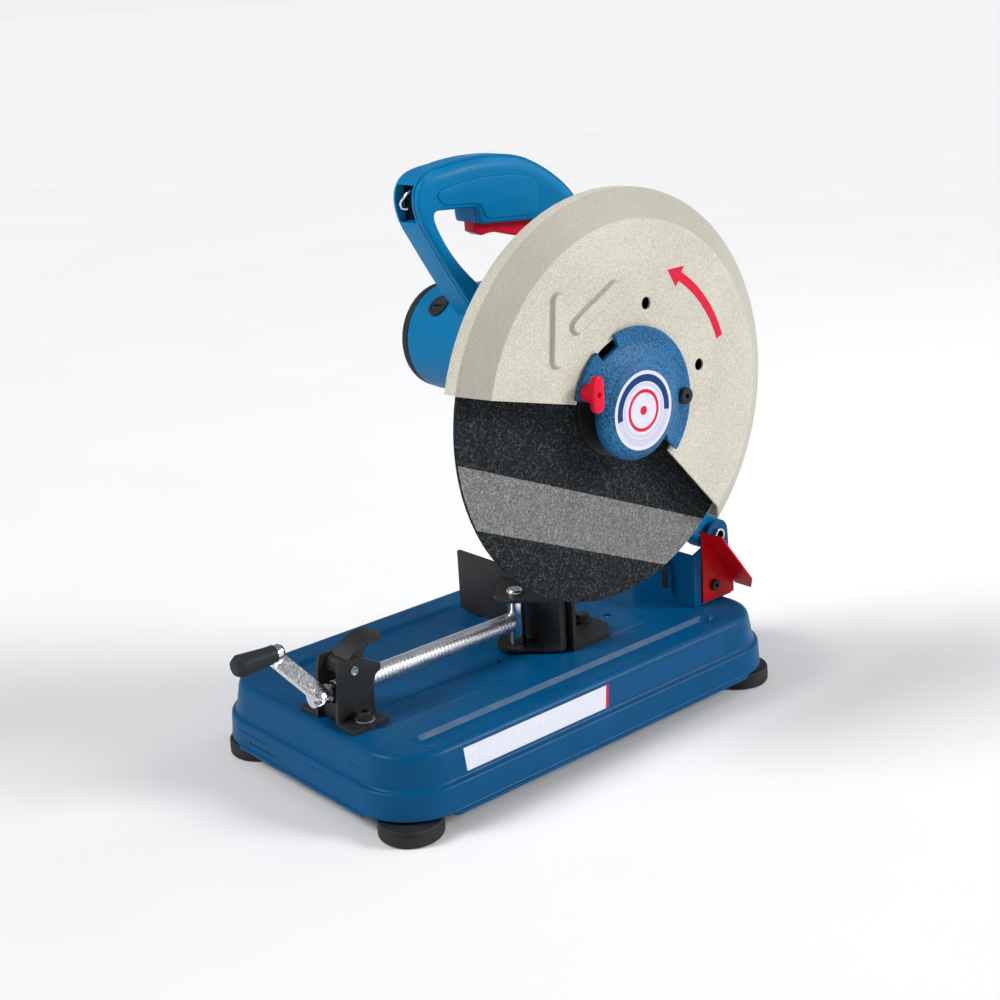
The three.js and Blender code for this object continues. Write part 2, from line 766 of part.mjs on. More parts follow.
function armatureShaft() {
  const pinion = slabX(
    toothed(PINION_TEETH, GEAR_MODULE, MOTOR.y, MOTOR.z, PINION_PHASE),
    GEAR_X0,
    GEAR_X1,
  );
  const shaft = turnedX(
    [
      [0, -178],
      [4, -178],
      [4, -163],
      [6, -163],
      [6, GEAR_X1 + 1],
      [5, GEAR_X1 + 1],
      [5, -26],
      [0, -26],
    ],
    MOTOR.y,
    MOTOR.z,
    16,
  );
  return shaft.add(pinion);
}
add("armature_shaft", armatureShaft(), STEEL);
const aroundShaft = (outer, x0, x1) =>
  turnedX(ring(6 + GAP, outer, x0, x1), MOTOR.y, MOTOR.z, 16);
add("armature_core", aroundShaft(24, -122, -80), COPPER);
add("commutator", aroundShaft(17.5, -148, -126), COPPER);
function coolingFan() {
  const blades = [];
  for (let i = 0; i < 7; i++) {
    const [y0, z0] = polar(16, (i * 360) / 7, MOTOR.y, MOTOR.z);
    const [y1, z1] = polar(38, (i * 360) / 7 + 12, MOTOR.y, MOTOR.z);
    blades.push(slabX(capsule(y0, z0, y1, z1, 1.2, 2), -75, -70.5));
  }
  return union([aroundShaft(20, -75, -70), ...blades]);
}
add("cooling_fan", coolingFan(), DARK_PLASTIC);

const bearing = (inner, outer, x0, x1, axis) =>
  turnedX(ring(inner, outer, x0, x1), axis.y, axis.z, 16);
add("armature_bearing_front", bearing(5 + GAP, 11, -35, -27, MOTOR), STEEL);
add("armature_bearing_rear", bearing(4 + GAP, 8, -176, -169, MOTOR), STEEL);
add("arbor_bearing_front", bearing(ARBOR_R + GAP, BEARING_R, -30, -16, WHEEL), STEEL);
add("arbor_bearing_rear", bearing(7 + GAP, 14, -67, -62.5, WHEEL), STEEL);

// ---------------------------------------------------------------- wheel and its drive
const BOLT_X = 6.9;
function arborShaft() {
  return turnedX(
    [
      [0, -67],
      [7, -67],
      [7, -58.5],
      [ARBOR_R, -58.5],
      [ARBOR_R, -6.9],
      [10, -6.9],
      [10, 5],
      [0, 5],
    ],
    WHEEL.y,
    WHEEL.z,
    16,
  );
}
add("arbor_shaft", arborShaft(), STEEL);

function driveGear() {
  const teeth = slabX(
    toothed(GEAR_TEETH, GEAR_MODULE, WHEEL.y, WHEEL.z, GEAR_PHASE),
    GEAR_X0 + 1,
    GEAR_X1 - 1,
  );
  return teeth.subtract(turnedX(rod(ARBOR_R + GAP, -80, 0), WHEEL.y, WHEEL.z, 24));
}
add("drive_gear", driveGear(), STEEL);

const halfWheel = WHEEL_T / 2;
add(
  "abrasive_wheel",
  turnedX(ring(12.7, WHEEL_R, -halfWheel, halfWheel), WHEEL.y, WHEEL.z, 80),
  ABRASIVE,
);
const flange = (x0, x1, inner) =>
  turnedX(ring(inner, 45, x0, x1), WHEEL.y, WHEEL.z, 32);
add("inner_flange", flange(-6.4, -halfWheel - GAP, 10.3), BLACK_STEEL);
add("outer_flange", flange(halfWheel + GAP, 6.4, 10.3), BLACK_STEEL);

function wheelBolt() {
  const hex = outline(arcPoints(WHEEL.y, WHEEL.z, 11, 0, 300, 5));
  const washer = turnedX(rod(15, BOLT_X, BOLT_X + 3), WHEEL.y, WHEEL.z, 24);
  return washer.add(slabX(hex, BOLT_X + 2, BOLT_X + 12));
}
add("wheel_bolt", wheelBolt(), BLACK_STEEL);

// ---------------------------------------------------------------- guard
function sector(r, from, to, steps = 24) {
  return outline([[WHEEL.y, WHEEL.z], ...arcPoints(WHEEL.y, WHEEL.z, r, from, to, steps)]);
}

const HUB_HOLE_R = 66;
function guardCover() {
  const { r, faceR, chamferX, faceX, rimX, sheet } = GUARD;
  const shell = turnedX(
    [
      [r - sheet, rimX],
      [r, rimX],
      [r, chamferX],
      [faceR, faceX],
      [HUB_HOLE_R, faceX],
      [HUB_HOLE_R, faceX - sheet],
      [faceR - 1, faceX - sheet],
      [r - sheet, chamferX - 1],
      [r - sheet, rimX],
    ],
    WHEEL.y,
    WHEEL.z,
    84,
  );
  const wedge = slabX(sector(400, GUARD_START, GUARD_END), -20, 60);
  const flutes = [
    [-84, 58, -80, 106],
    [-60, 82, -16, 106],
  ].map(([y0, z0, y1, z1]) =>
    slabX(
      capsule(WHEEL.y + y0, WHEEL.z + z0, WHEEL.y + y1, WHEEL.z + z1, 7, 6),
      faceX - 1,
      faceX + 2,
      1,
      1,
    ),
  );
  const holes = [75.7, 13.6].map((angle) => {
    const [y, z] = polar(90, angle, WHEEL.y, WHEEL.z);
    return turnedX(rod(5.5, 10, 40), y, z, 16);
  });
  return cut(union([shell.intersect(wedge), ...flutes]), holes);
}
add("guard_cover", guardCover(), CREAM);

function guardBack() {
  const plate = slabX(sector(GUARD.r - 0.5, GUARD_START, GUARD_END, 50), -5.6, -2.6);
  const hole = turnedX(rod(48, -20, 10), WHEEL.y, WHEEL.z, 32);
  return plate.subtract(hole);
}
add("guard_back_plate", guardBack(), CREAM);

// ---------------------------------------------------------------- hub cover
const COVER_X0 = GUARD.faceX + 0.8;
const COVER_SCREW = { y: WHEEL.y + 61, z: WHEEL.z - 1 };
const WING_SCREW = { y: WHEEL.y - 57, z: WHEEL.z + 26 };

function hubCover() {
  const flat = slabX(sector(71, -43, 163, 24), COVER_X0, COVER_X0 + 4, 1, 1);
  const dome = turnedX(
    [
      [0, COVER_X0],
      [45, COVER_X0],
      [45, COVER_X0 + 9],
      [42, COVER_X0 + 12.5],
      [30, COVER_X0 + 14],
      [0, COVER_X0 + 14],
    ],
    WHEEL.y,
    WHEEL.z,
    40,
  );
  const inside = turnedX(rod(42, 0, COVER_X0 + 10.5), WHEEL.y, WHEEL.z, 32);
  const chord = slabX(sector(100, 107, 127, 4), 20, 40).subtract(
    turnedX(rod(63, 0, 60), WHEEL.y, WHEEL.z, 32),
  );
  const tools = [
    inside,
    chord,
    turnedX(rod(3 + GAP, 20, 60), COVER_SCREW.y, COVER_SCREW.z, 12),
    turnedX(rod(3 + GAP, 20, 60), WING_SCREW.y, WING_SCREW.z, 12),
  ];
  return cut(flat.add(dome), tools);
}
add("hub_cover", hubCover(), BLUE);

function coverScrew() {
  const x = COVER_X0 + 4 + GAP;
  const head = turnedX(
    [
      [0, x],
      [7.5, x],
      [7.5, x + 3],
      [6, x + 4.5],
      [2, x + 4.5],
      [2, x + 2.5],
      [0, x + 2.5],
    ],
    COVER_SCREW.y,
    COVER_SCREW.z,
    16,
  );
  return head.add(turnedX(rod(3, GUARD.faceX + GAP, x + 1), COVER_SCREW.y, COVER_SCREW.z, 12));
}
add("cover_screw", coverScrew(), DARK_PLASTIC);

function wingScrew() {
  const { y, z } = WING_SCREW;
  const x = COVER_X0 + 4 + GAP;
  const collar = turnedX(
    [
      [0, COVER_X0],
      [3, COVER_X0],
      [3, x],
      [7.5, x],
      [7.5, x + 12],
      [0, x + 12],
    ],
    y,
    z,
    20,
  );
  const wings = slabX(capsule(y, z - 9.5, y, z + 9.5, 6.5, 6), x + 10, x + 15, 1.5, 2);
  return collar.add(wings);
}
add("wing_screw", wingScrew(), RED_PLASTIC);

// ---------------------------------------------------------------- D-handle
const handleOuter = () => {
  const shape = new THREE.Shape();
  shape.moveTo(25, 388);
  shape.lineTo(6, 414);
  shape.bezierCurveTo(-6, 432, -20, 456, -30, 472);
  shape.bezierCurveTo(-38, 486, -40, 502, -33, 511);
  shape.bezierCurveTo(-28, 518, -18, 522, -6, 524);
  shape.bezierCurveTo(20, 529, 60, 529, 84, 521);
  shape.bezierCurveTo(106, 513, 138, 494, 150, 472);
  shape.bezierCurveTo(158, 450, 158, 410, 150, 372);
  shape.lineTo(118, 366);
  shape.lineTo(90, 392);
  shape.lineTo(40, 392);
  shape.closePath();
  return shape;
};

const handleWindow = () => {
  const hole = new THREE.Shape();
  hole.moveTo(26, 418);
  hole.bezierCurveTo(14, 428, -4, 446, -15, 468);
  hole.bezierCurveTo(-22, 482, -23, 488, -14, 487.5);
  hole.lineTo(27, 485);
  hole.lineTo(28, 471);
  hole.lineTo(96, 466);
  hole.bezierCurveTo(112, 462, 122, 452, 122, 436);
  hole.bezierCurveTo(122, 422, 112, 416, 100, 416);
  hole.closePath();
  return hole;
};

const PARTING_X = HANDLE_X + 12; // the right half is a thin cover
const POCKET_BACK = -27;
const TRIGGER_W = 15;
function handleHalves() {
  const x0 = HANDLE_X - HANDLE_W / 2;
  const x1 = HANDLE_X + HANDLE_W / 2;
  const body = slabX(handleOuter(), x0, x1, 7, 2);
  const tools = [
    slabX(handleWindow(), x0 - 1, x1 + 1),
    turnedX(rod(MOTOR_R + GAP, -200, 0), MOTOR.y, MOTOR.z, 40),
    box(HANDLE_X - TRIGGER_W / 2 - GAP, HANDLE_X + TRIGGER_W / 2 + GAP, 29, 108, 440, 494),
    box(HANDLE_X - 12, PARTING_X, 32, 92, 494 - 0.1, 512),
    box(x0 - 1, x0 + 10, 50, 62, 497, 509),
  ];
  const hollow = cut(body, tools);
  const pocket = box(HANDLE_X - 14, HANDLE_X + 10, -60, POCKET_BACK, 480, 510);
  const rightSide = box(PARTING_X + GAP / 2, x1 + 5, -100, 300, 300, 600);
  const leftSide = box(x0 - 5, PARTING_X - GAP / 2, -100, 300, 300, 600);
  return [rightSide, leftSide].map((side) => hollow.intersect(side).subtract(pocket));
}
const [handleRight, handleLeft] = handleHalves();
add("handle_half_right", handleRight, BLUE);
add("handle_half_left", handleLeft, BLUE);

function trigger() {
  const shape = new THREE.Shape();
  shape.moveTo(30, 477);
  shape.lineTo(30, 463);
  shape.lineTo(38, 459);
  shape.bezierCurveTo(58, 464, 70, 452, 86, 453);
  shape.lineTo(100, 462);
  shape.lineTo(100, 474);
  shape.closePath();
  return slabX(shape, HANDLE_X - TRIGGER_W / 2, HANDLE_X + TRIGGER_W / 2, 1.5, 1);
}
add("trigger", trigger(), RED_PLASTIC);

add("switch_module", box(HANDLE_X - 11, HANDLE_X + 11, 34, 90, 495, 511), DARK_PLASTIC);

const BUTTON = { y: 56, z: 503 };
function lockButton() {
  const x0 = HANDLE_X - HANDLE_W / 2 - 5;
  return turnedX(
    [
      [0, x0],
      [4, x0],
      [5, x0 + 1],
      [5, x0 + 8],
      [0, x0 + 8],
    ],
    BUTTON.y,
    BUTTON.z,
    16,
  );
}
add("lock_button", lockButton(), RED_PLASTIC);

function wireHook() {
  const path = new THREE.CatmullRomCurve3([
    new THREE.Vector3(HANDLE_X + 4, POCKET_BACK - 0.3, 505),
    new THREE.Vector3(HANDLE_X + 4, POCKET_BACK - 2, 505),
    new THREE.Vector3(HANDLE_X + 3, POCKET_BACK - 5, 503),
    new THREE.Vector3(HANDLE_X - 2, POCKET_BACK - 8, 497),
    new THREE.Vector3(HANDLE_X - 4, POCKET_BACK - 7, 491),
    new THREE.Vector3(HANDLE_X - 1, POCKET_BACK - 4, 490),
  ]);
  const section = disc(0, 0, 1.3, 6);
  return toSolid(
    new THREE.ExtrudeGeometry(section, { steps: 10, extrudePath: path, bevelEnabled: false }),
  );
}
add("wire_hook", wireHook(), CHROME);

// Where the mains lead enters the motor housing.
function cordGland() {
  return turnedY(
    [
      [0, MOTOR.y + MOTOR_R - 0.6],
      [10, MOTOR.y + MOTOR_R - 0.6],
      [10, MOTOR.y + MOTOR_R + 6],
      [7, MOTOR.y + MOTOR_R + 8],
      [5.5, MOTOR.y + MOTOR_R + 34],
      [0, MOTOR.y + MOTOR_R + 34],
    ],
    -150,
    MOTOR.z,
    16,
  );
}
const motorSurface = turnedX(rod(MOTOR_R + GAP, -200, 0), MOTOR.y, MOTOR.z, 40);
add("cord_gland", cordGland().subtract(motorSurface), RUBBER);

// ---------------------------------------------------------------- stand it on the origin
saw.updateMatrixWorld(true);
const bounds = new THREE.Box3().setFromObject(saw, true);
saw.position.set(
  -(bounds.min.x + bounds.max.x) / 2,
  -(bounds.min.y + bounds.max.y) / 2,
  -bounds.min.z,
);

export default saw;
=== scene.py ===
"""Looks of an abrasive chop saw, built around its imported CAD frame.

Points are written in millimetres on the saw's own datum and turned into metres by at():
x from the wheel's middle plane, y from 99 mm in front of the wheel's axis, z from the floor.
"""

import json
import math

import bmesh
import bpy
from mathutils import Matrix, Vector


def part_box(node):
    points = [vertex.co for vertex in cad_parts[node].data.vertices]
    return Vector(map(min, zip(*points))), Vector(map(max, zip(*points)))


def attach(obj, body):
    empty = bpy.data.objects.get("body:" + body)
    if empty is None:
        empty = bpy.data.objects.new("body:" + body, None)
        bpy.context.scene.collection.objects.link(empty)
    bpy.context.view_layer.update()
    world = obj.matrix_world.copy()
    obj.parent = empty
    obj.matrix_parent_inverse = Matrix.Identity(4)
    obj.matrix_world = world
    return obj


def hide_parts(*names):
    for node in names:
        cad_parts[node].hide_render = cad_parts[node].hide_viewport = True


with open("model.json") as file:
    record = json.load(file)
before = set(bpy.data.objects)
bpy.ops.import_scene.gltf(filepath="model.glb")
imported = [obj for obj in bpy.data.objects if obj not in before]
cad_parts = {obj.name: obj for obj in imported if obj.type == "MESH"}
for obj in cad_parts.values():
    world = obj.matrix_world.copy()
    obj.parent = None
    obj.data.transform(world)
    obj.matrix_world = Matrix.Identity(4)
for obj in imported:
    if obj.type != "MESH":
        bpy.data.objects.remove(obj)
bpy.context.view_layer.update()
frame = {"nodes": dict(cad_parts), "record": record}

MM = 0.001
RECORD = frame["record"]
SLOT_OF = {part["node"]: part["material_slot"] for part in RECORD["subparts"]}
BODIES = RECORD["behaviour"]["bodies"]
BODY_OF = {node: body for body, nodes in BODIES.items() for node in nodes}


def middle(node):
    low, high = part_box(node)
    return (low + high) / 2


HUB = middle("abrasive_wheel")
DATUM = Vector((HUB.x, HUB.y - 99 * MM, 0.0))


def at(x, y, z):
    return DATUM + Vector((x, y, z)) * MM


def datum_mm(point):
    """A point of the frame in the datum's millimetres."""
    return (Vector(point) - DATUM) / MM


def middle_mm(node):
    return datum_mm(middle(node))


WHEEL = datum_mm(HUB)
WHEEL_R = (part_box("abrasive_wheel")[1].z - HUB.z) / MM
MOTOR = middle_mm("motor_end_cap")
PIVOT = middle_mm("pivot_shaft")
VISE = middle_mm("spindle")
JAW_PIN = middle_mm("jaw_pin")
HANDLE = middle_mm("switch_module")


# ---- camera
link = bpy.context.scene.collection.objects.link
CAMERA_PLACE = HUB + Vector((0.9598, -0.9455, 0.3496))
CAMERA_TURNS = (49.747, 17.812, -3.349)  # azimuth from -y, elevation and roll, in degrees
CAMERA_LENS = 57.37


def make_camera():
    """Looks down at the saw from its front right."""
    azimuth, elevation, roll = (math.radians(v) for v in CAMERA_TURNS)
    level = math.cos(elevation)
    back = Vector((math.sin(azimuth) * level, -math.cos(azimuth) * level, math.sin(elevation)))
    right = Vector((0, 0, 1)).cross(back).normalized()
    up = back.cross(right)
    leaned_right = math.cos(roll) * right + math.sin(roll) * up
    leaned_up = math.cos(roll) * up - math.sin(roll) * right
    data = bpy.data.cameras.new("camera")
    data.lens = CAMERA_LENS
    data.sensor_width = 36.0
    camera = bpy.data.objects.new("camera", data)
    turn = Matrix((leaned_right, leaned_up, back)).transposed().to_4x4()
    camera.matrix_world = Matrix.Translation(CAMERA_PLACE) @ turn
    link(camera)
    bpy.context.scene.camera = camera


make_camera()


# ---- shader helpers
NOISE_LOW, NOISE_HIGH = 0.3, 0.7  # a soft noise stays mostly between these


def add_node(tree, kind, settings=None, inputs=None):
    made = tree.nodes.new("ShaderNode" + kind)
    for key, value in (settings or {}).items():
        setattr(made, key, value)
    for key, value in (inputs or {}).items():
        made.inputs[key].default_value = value
    return made


def start(name, roughness, metallic=0.0, coat=0.0, coat_roughness=0.12, specular=0.5):
    material = bpy.data.materials.new(name)
    material.use_nodes = True
    tree = material.node_tree
    shader = tree.nodes["Principled BSDF"]
    shader.inputs["Roughness"].default_value = roughness
    shader.inputs["Metallic"].default_value = metallic
    shader.inputs["Coat Weight"].default_value = coat
    shader.inputs["Coat Roughness"].default_value = coat_roughness
    shader.inputs["Specular IOR Level"].default_value = specular
    return material, tree, shader


def place(tree, stretch=(1, 1, 1)):
    """Object coordinates, scaled along each axis."""
    source = add_node(tree, "TexCoord")
    mapping = add_node(tree, "Mapping", inputs={"Scale": stretch})
    tree.links.new(source.outputs["Object"], mapping.inputs["Vector"])
    return mapping.outputs["Vector"]


def axes_of(tree, coordinate):
    """The separate X, Y and Z of a texture coordinate."""
    source = add_node(tree, "TexCoord")
    axes = add_node(tree, "SeparateXYZ")
    tree.links.new(source.outputs[coordinate], axes.inputs["Vector"])
    return axes.outputs


def noise(tree, scale, detail=2.0, roughness=0.5, stretch=(1, 1, 1)):
    settings = {"Scale": scale, "Detail": detail, "Roughness": roughness}
    made = add_node(tree, "TexNoise", inputs=settings)
    tree.links.new(place(tree, stretch), made.inputs["Vector"])
    return made.outputs["Fac"]


def grains(tree, scale):
    """A random grey for each cell of a packed-grain pattern, and the distance to its middle."""
    made = add_node(tree, "TexVoronoi", inputs={"Scale": scale})
    tree.links.new(place(tree), made.inputs["Vector"])
    grey = add_node(tree, "SeparateColor")
    tree.links.new(made.outputs["Color"], grey.inputs["Color"])
    return grey.outputs["Red"], made.outputs["Distance"]


def ramp(tree, source, stops):
    made = add_node(tree, "ValToRGB")
    elements = made.color_ramp.elements
    while len(elements) < len(stops):
        elements.new(0.5)
    for element, (position, colour) in zip(elements, stops):
        element.position = position
        element.color = (*colour, 1.0)
    tree.links.new(source, made.inputs["Fac"])
    return made.outputs["Color"]


def two_tone(tree, source, dark, light):
    """Dark to light over the middle of a noise's spread."""
    return ramp(tree, source, [(NOISE_LOW, dark), (NOISE_HIGH, light)])


def remap(tree, source, low, high, to_low=0.0, to_high=1.0):
    spans = {"From Min": low, "From Max": high, "To Min": to_low, "To Max": to_high}
    made = add_node(tree, "MapRange", inputs=spans)
    tree.links.new(source, made.inputs["Value"])
    return made.outputs["Result"]


def math_node(tree, operation, first, second):
    made = add_node(tree, "Math", {"operation": operation})
    for socket, value in zip(made.inputs, (first, second)):
        if isinstance(value, (int, float)):
            socket.default_value = value
        else:
            tree.links.new(value, socket)
    return made.outputs["Value"]


def times(tree, first, second):
    return math_node(tree, "MULTIPLY", first, second)


def mix(tree, factor, first, second):
    made = add_node(tree, "Mix", {"data_type": "RGBA"})
    tree.links.new(factor, made.inputs[0])
    for socket, value in ((made.inputs[6], first), (made.inputs[7], second)):
        if isinstance(value, tuple):
            socket.default_value = (*value, 1.0)
        else:
            tree.links.new(value, socket)
    return made.outputs[2]


def bump(tree, shader, height, depth, strength=1.0):
    """Relief of that depth in metres; a second call adds to the first."""
    made = add_node(tree, "Bump", inputs={"Strength": strength, "Distance": depth})
    tree.links.new(height, made.inputs["Height"])
    before = shader.inputs["Normal"].links
    if before:
        tree.links.new(before[0].from_socket, made.inputs["Normal"])
    tree.links.new(made.outputs["Normal"], shader.inputs["Normal"])


def edge_wear(tree, amount):
    """1 on worn convex edges and 0 elsewhere, broken up by noise."""
    shape = add_node(tree, "NewGeometry")
    edge = remap(tree, shape.outputs["Pointiness"], 0.52, 0.60)
    spots = remap(tree, noise(tree, 260.0, 4.0), 0.42, 0.62)
    return times(tree, times(tree, edge, spots), amount)


def colour_from(tree, shader, tone):
    tree.links.new(tone, shader.inputs["Base Color"])


def gloss_from(tree, shader, source, low, high):
    """Roughness between two values over the middle of a noise's spread."""
    uneven = remap(tree, source, NOISE_LOW, NOISE_HIGH, low, high)
    tree.links.new(uneven, shader.inputs["Roughness"])


def scaled(colour, factor):
    return tuple(min(1.0, c * factor) for c in colour)


# ---- materials
def painted(name, colour, roughness, coat=0.0, grain=700.0, depth=0.00004, spread=0.10, wear=0.0):
    """Paint or moulded plastic: soft patches of tone, fine relief and uneven gloss."""
    material, tree, shader = start(name, roughness, coat=coat, specular=0.09)
    patches = noise(tree, 14.0, 5.0, 0.6)
    tone = two_tone(tree, patches, scaled(colour, 1 - spread), scaled(colour, 1 + spread))
    if wear:
        tone = mix(tree, edge_wear(tree, wear), tone, scaled(colour, 1.9))
    colour_from(tree, shader, tone)
    gloss_from(tree, shader, noise(tree, 60.0, 4.0), roughness - 0.06, roughness + 0.08)
    bump(tree, shader, noise(tree, grain, 3.0), depth)
    return material


def slope_shade_mask(tree):
    """Where shade is painted: half on faces that lean between +x and across it, none on the others."""
    none, half = (0, 0, 0), (0.55, 0.55, 0.55)
    lean = axes_of(tree, "Normal")["X"]
    return ramp(tree, lean, [(0.25, none), (0.45, half), (0.92, half), (0.985, none)])


def hammered(name, dark, light, roughness, scale, depth, contrast=(0.38, 0.62), slope_shade_tone=1.0):
    """Hammer-finish paint: a fine mottle in tone and relief, with painted shade on slopes that face
    +x.
    """
    material, tree, shader = start(name, roughness, specular=0.22)
    mottle = noise(tree, scale, 3.0, 0.65)
    patches = remap(tree, noise(tree, 18.0, 3.0), NOISE_LOW, NOISE_HIGH, -0.05, 0.05)
    lifted = math_node(tree, "ADD", mottle, patches)
    tone = ramp(tree, lifted, [(contrast[0], dark), (contrast[1], light)])
    # painted shade: slopes that face +x are darkened toward a share of the light tone
    if slope_shade_tone < 1.0:
        tone = mix(tree, slope_shade_mask(tree), tone, scaled(light, slope_shade_tone))
    colour_from(tree, shader, tone)
    bump(tree, shader, mottle, depth)
    bump(tree, shader, noise(tree, scale * 2.6, 2.0), depth * 0.4)
    return material


def metal(name, colour, roughness, stretch=(1, 1, 1), scale=500.0, depth=0.00002, spread=0.12):
    """Bare or plated metal with brushed streaks along the axis that stretch shortens."""
    material, tree, shader = start(name, roughness, metallic=1.0)
    streaks = noise(tree, scale, 3.0, 0.6, stretch)
    tone = two_tone(tree, streaks, scaled(colour, 1 - spread), colour)
    colour_from(tree, shader, tone)
    gloss_from(tree, shader, streaks, roughness * 0.7, roughness * 1.5)
    bump(tree, shader, streaks, depth)
    return material


def black_steel():
    """Black-painted steel plate with dusty patches and brown, rubbed edges."""
    material, tree, shader = start("black_steel", 0.40, specular=0.4)
    patches = noise(tree, 30.0, 5.0, 0.6)
    tone = ramp(tree, patches, [(NOISE_LOW, (0.006, 0.007, 0.008)), (0.75, (0.014, 0.015, 0.017))])
    tone = mix(tree, edge_wear(tree, 0.3), tone, (0.09, 0.062, 0.045))
    colour_from(tree, shader, tone)
    gloss_from(tree, shader, patches, 0.36, 0.56)
    bump(tree, shader, noise(tree, 900.0, 3.0), 0.00006)
    return material


def rubber():
    material, tree, shader = start("rubber", 0.62, specular=0.3)
    patches = noise(tree, 45.0, 4.0)
    tone = ramp(tree, patches, [(NOISE_LOW, (0.010, 0.012, 0.014)), (0.75, (0.022, 0.025, 0.028))])
    colour_from(tree, shader, tone)
    bump(tree, shader, noise(tree, 800.0, 3.0), 0.00008)
    return material


LABEL_ANGLE = math.radians(-112.6)  # the way from the hub to the label band, from +y to +z
LABEL_NEAR = 81 * MM
LABEL_FAR = 130 * MM


def label_band(tree):
    """1 between the label's near and far edge, 0 elsewhere."""
    axes = axes_of(tree, "Object")
    along_y = math_node(tree, "SUBTRACT", axes["Y"], HUB.y)
    along_z = math_node(tree, "SUBTRACT", axes["Z"], HUB.z)
    share_y = times(tree, along_y, math.cos(LABEL_ANGLE))
    share_z = times(tree, along_z, math.sin(LABEL_ANGLE))
    reach = math_node(tree, "ADD", share_y, share_z)
    past = math_node(tree, "GREATER_THAN", reach, LABEL_NEAR)
    before = math_node(tree, "LESS_THAN", reach, LABEL_FAR)
    return times(tree, past, before)


def abrasive(labelled):
    """Resin-bonded grit: pale and dark grains, with a printed grey band on the outer face."""
    name = "abrasive_face" if labelled else "abrasive_rim"
    material, tree, shader = start(name, 0.8, specular=0.12)
    cell, distance = grains(tree, 820.0)
    soft = noise(tree, 420.0, 3.0, 0.7)
    grit = math_node(tree, "ADD", times(tree, cell, 0.45), soft)
    dark, grey, pale = (0.004, 0.005, 0.006), (0.017, 0.021, 0.023), (0.075, 0.088, 0.092)
    tone = ramp(tree, grit, [(0.45, dark), (0.82, grey), (1.0, pale)])
    if labelled:
        dark, grey, pale = (0.105, 0.105, 0.105), (0.20, 0.20, 0.198), (0.33, 0.33, 0.33)
        paper = ramp(tree, grit, [(0.45, dark), (0.78, grey), (1.0, pale)])
        tone = mix(tree, label_band(tree), tone, paper)
    colour_from(tree, shader, tone)
    bump(tree, shader, distance, 0.0004)
    bump(tree, shader, soft, 0.0003)
    return material


def printed(name, colour, roughness=0.35):
    """Printed vinyl or foil: near-flat colour with faint dust and a soft gloss."""
    material, tree, shader = start(name, roughness, specular=0.15)
    dust = noise(tree, 220.0, 5.0, 0.65)
    tone = ramp(tree, dust, [(NOISE_LOW, scaled(colour, 0.93)), (0.65, colour)])
    colour_from(tree, shader, tone)
    bump(tree, shader, dust, 0.00001)
    return material


def floor_paint():
    material, tree, shader = start("floor", 0.9, specular=0.1)
    tone = two_tone(tree, noise(tree, 3.0, 3.0), (0.86, 0.86, 0.86), (0.88, 0.88, 0.88))
    colour_from(tree, shader, tone)
    return material


BLUE = (0.0, 0.072, 0.190)
BLUE_DARK, BLUE_LIGHT = (0.0, 0.034, 0.105), (0.02, 0.20, 0.45)
CREAM_DARK, CREAM_LIGHT = (0.50, 0.475, 0.385), (0.70, 0.675, 0.575)

LOOKS = {
    "blue_steel": painted("blue_enamel", BLUE, 0.38, coat=0.04, depth=0.00003, wear=0.25),
    "blue_cast": painted("blue_cast", (0.0, 0.165, 0.370), 0.40, grain=520.0, depth=0.00012),
    "blue_plastic": painted("blue_plastic", (0.0, 0.185, 0.420), 0.36, grain=1100.0, depth=0.00005),
    "blue_hammered": hammered("blue_hammered", BLUE_DARK, BLUE_LIGHT, 0.36, 640.0, 0.0004),
    # painted shade: the guard's chamfer is darkened to half the light cream
    "cream_steel": hammered(
        "cream_hammered", CREAM_DARK, CREAM_LIGHT, 0.50, 800.0, 0.00022, slope_shade_tone=0.50
    ),
    "black_steel": black_steel(),
    "bare_steel": metal("bare_steel", (0.36, 0.37, 0.38), 0.38),
    "chrome": metal("chrome", (0.80, 0.81, 0.82), 0.14, stretch=(1, 1, 0.15)),
    "chrome_bar": metal("chrome_bar", (0.88, 0.89, 0.90), 0.36, stretch=(1, 0.08, 1), scale=900.0),
    "red_steel": painted("red_enamel", (0.56, 0.002, 0.008), 0.38, coat=0.1, wear=0.1),
    "red_plastic": painted("red_plastic", (0.78, 0.006, 0.034), 0.26, coat=0.15, grain=1200.0),
    "rubber": rubber(),
    "abrasive": abrasive(True),
    "abrasive_rim": abrasive(False),
    "dark_plastic": painted("dark_plastic", (0.026, 0.031, 0.036), 0.46, grain=1000.0),
    "copper": metal("copper", (0.62, 0.30, 0.14), 0.35, stretch=(0.1, 1, 1)),
    "label_white": printed("label_white", (0.74, 0.75, 0.84)),
    "label_lilac": printed("label_lilac", (0.62, 0.61, 0.76)),
    "label_navy": printed("label_navy", (0.002, 0.045, 0.19)),
    "label_blue": printed("label_blue", (0.0, 0.075, 0.215)),
    "label_red": printed("label_red", (0.72, 0.010, 0.045)),
    # painted shade: near-black for the back of the handle's pocket
    "gap_shade": painted("gap_shade", (0.004, 0.005, 0.007), 0.7),
}


# ---- mesh helpers
def new_object(name, points, faces):
    mesh = bpy.data.meshes.new(name)
    mesh.from_pydata([tuple(p) for p in points], [], faces)
    obj = bpy.data.objects.new(name, mesh)
    link(obj)
    clean(mesh)
    return obj


def clean(mesh, inside_out=False):
    form = bmesh.new()
    form.from_mesh(mesh)
    bmesh.ops.remove_doubles(form, verts=form.verts, dist=0.01 * MM)
    bmesh.ops.dissolve_degenerate(form, edges=form.edges, dist=0.005 * MM)
    bmesh.ops.recalc_face_normals(form, faces=form.faces)
    if inside_out:
        bmesh.ops.reverse_faces(form, faces=form.faces)
    form.to_mesh(mesh)
    form.free()


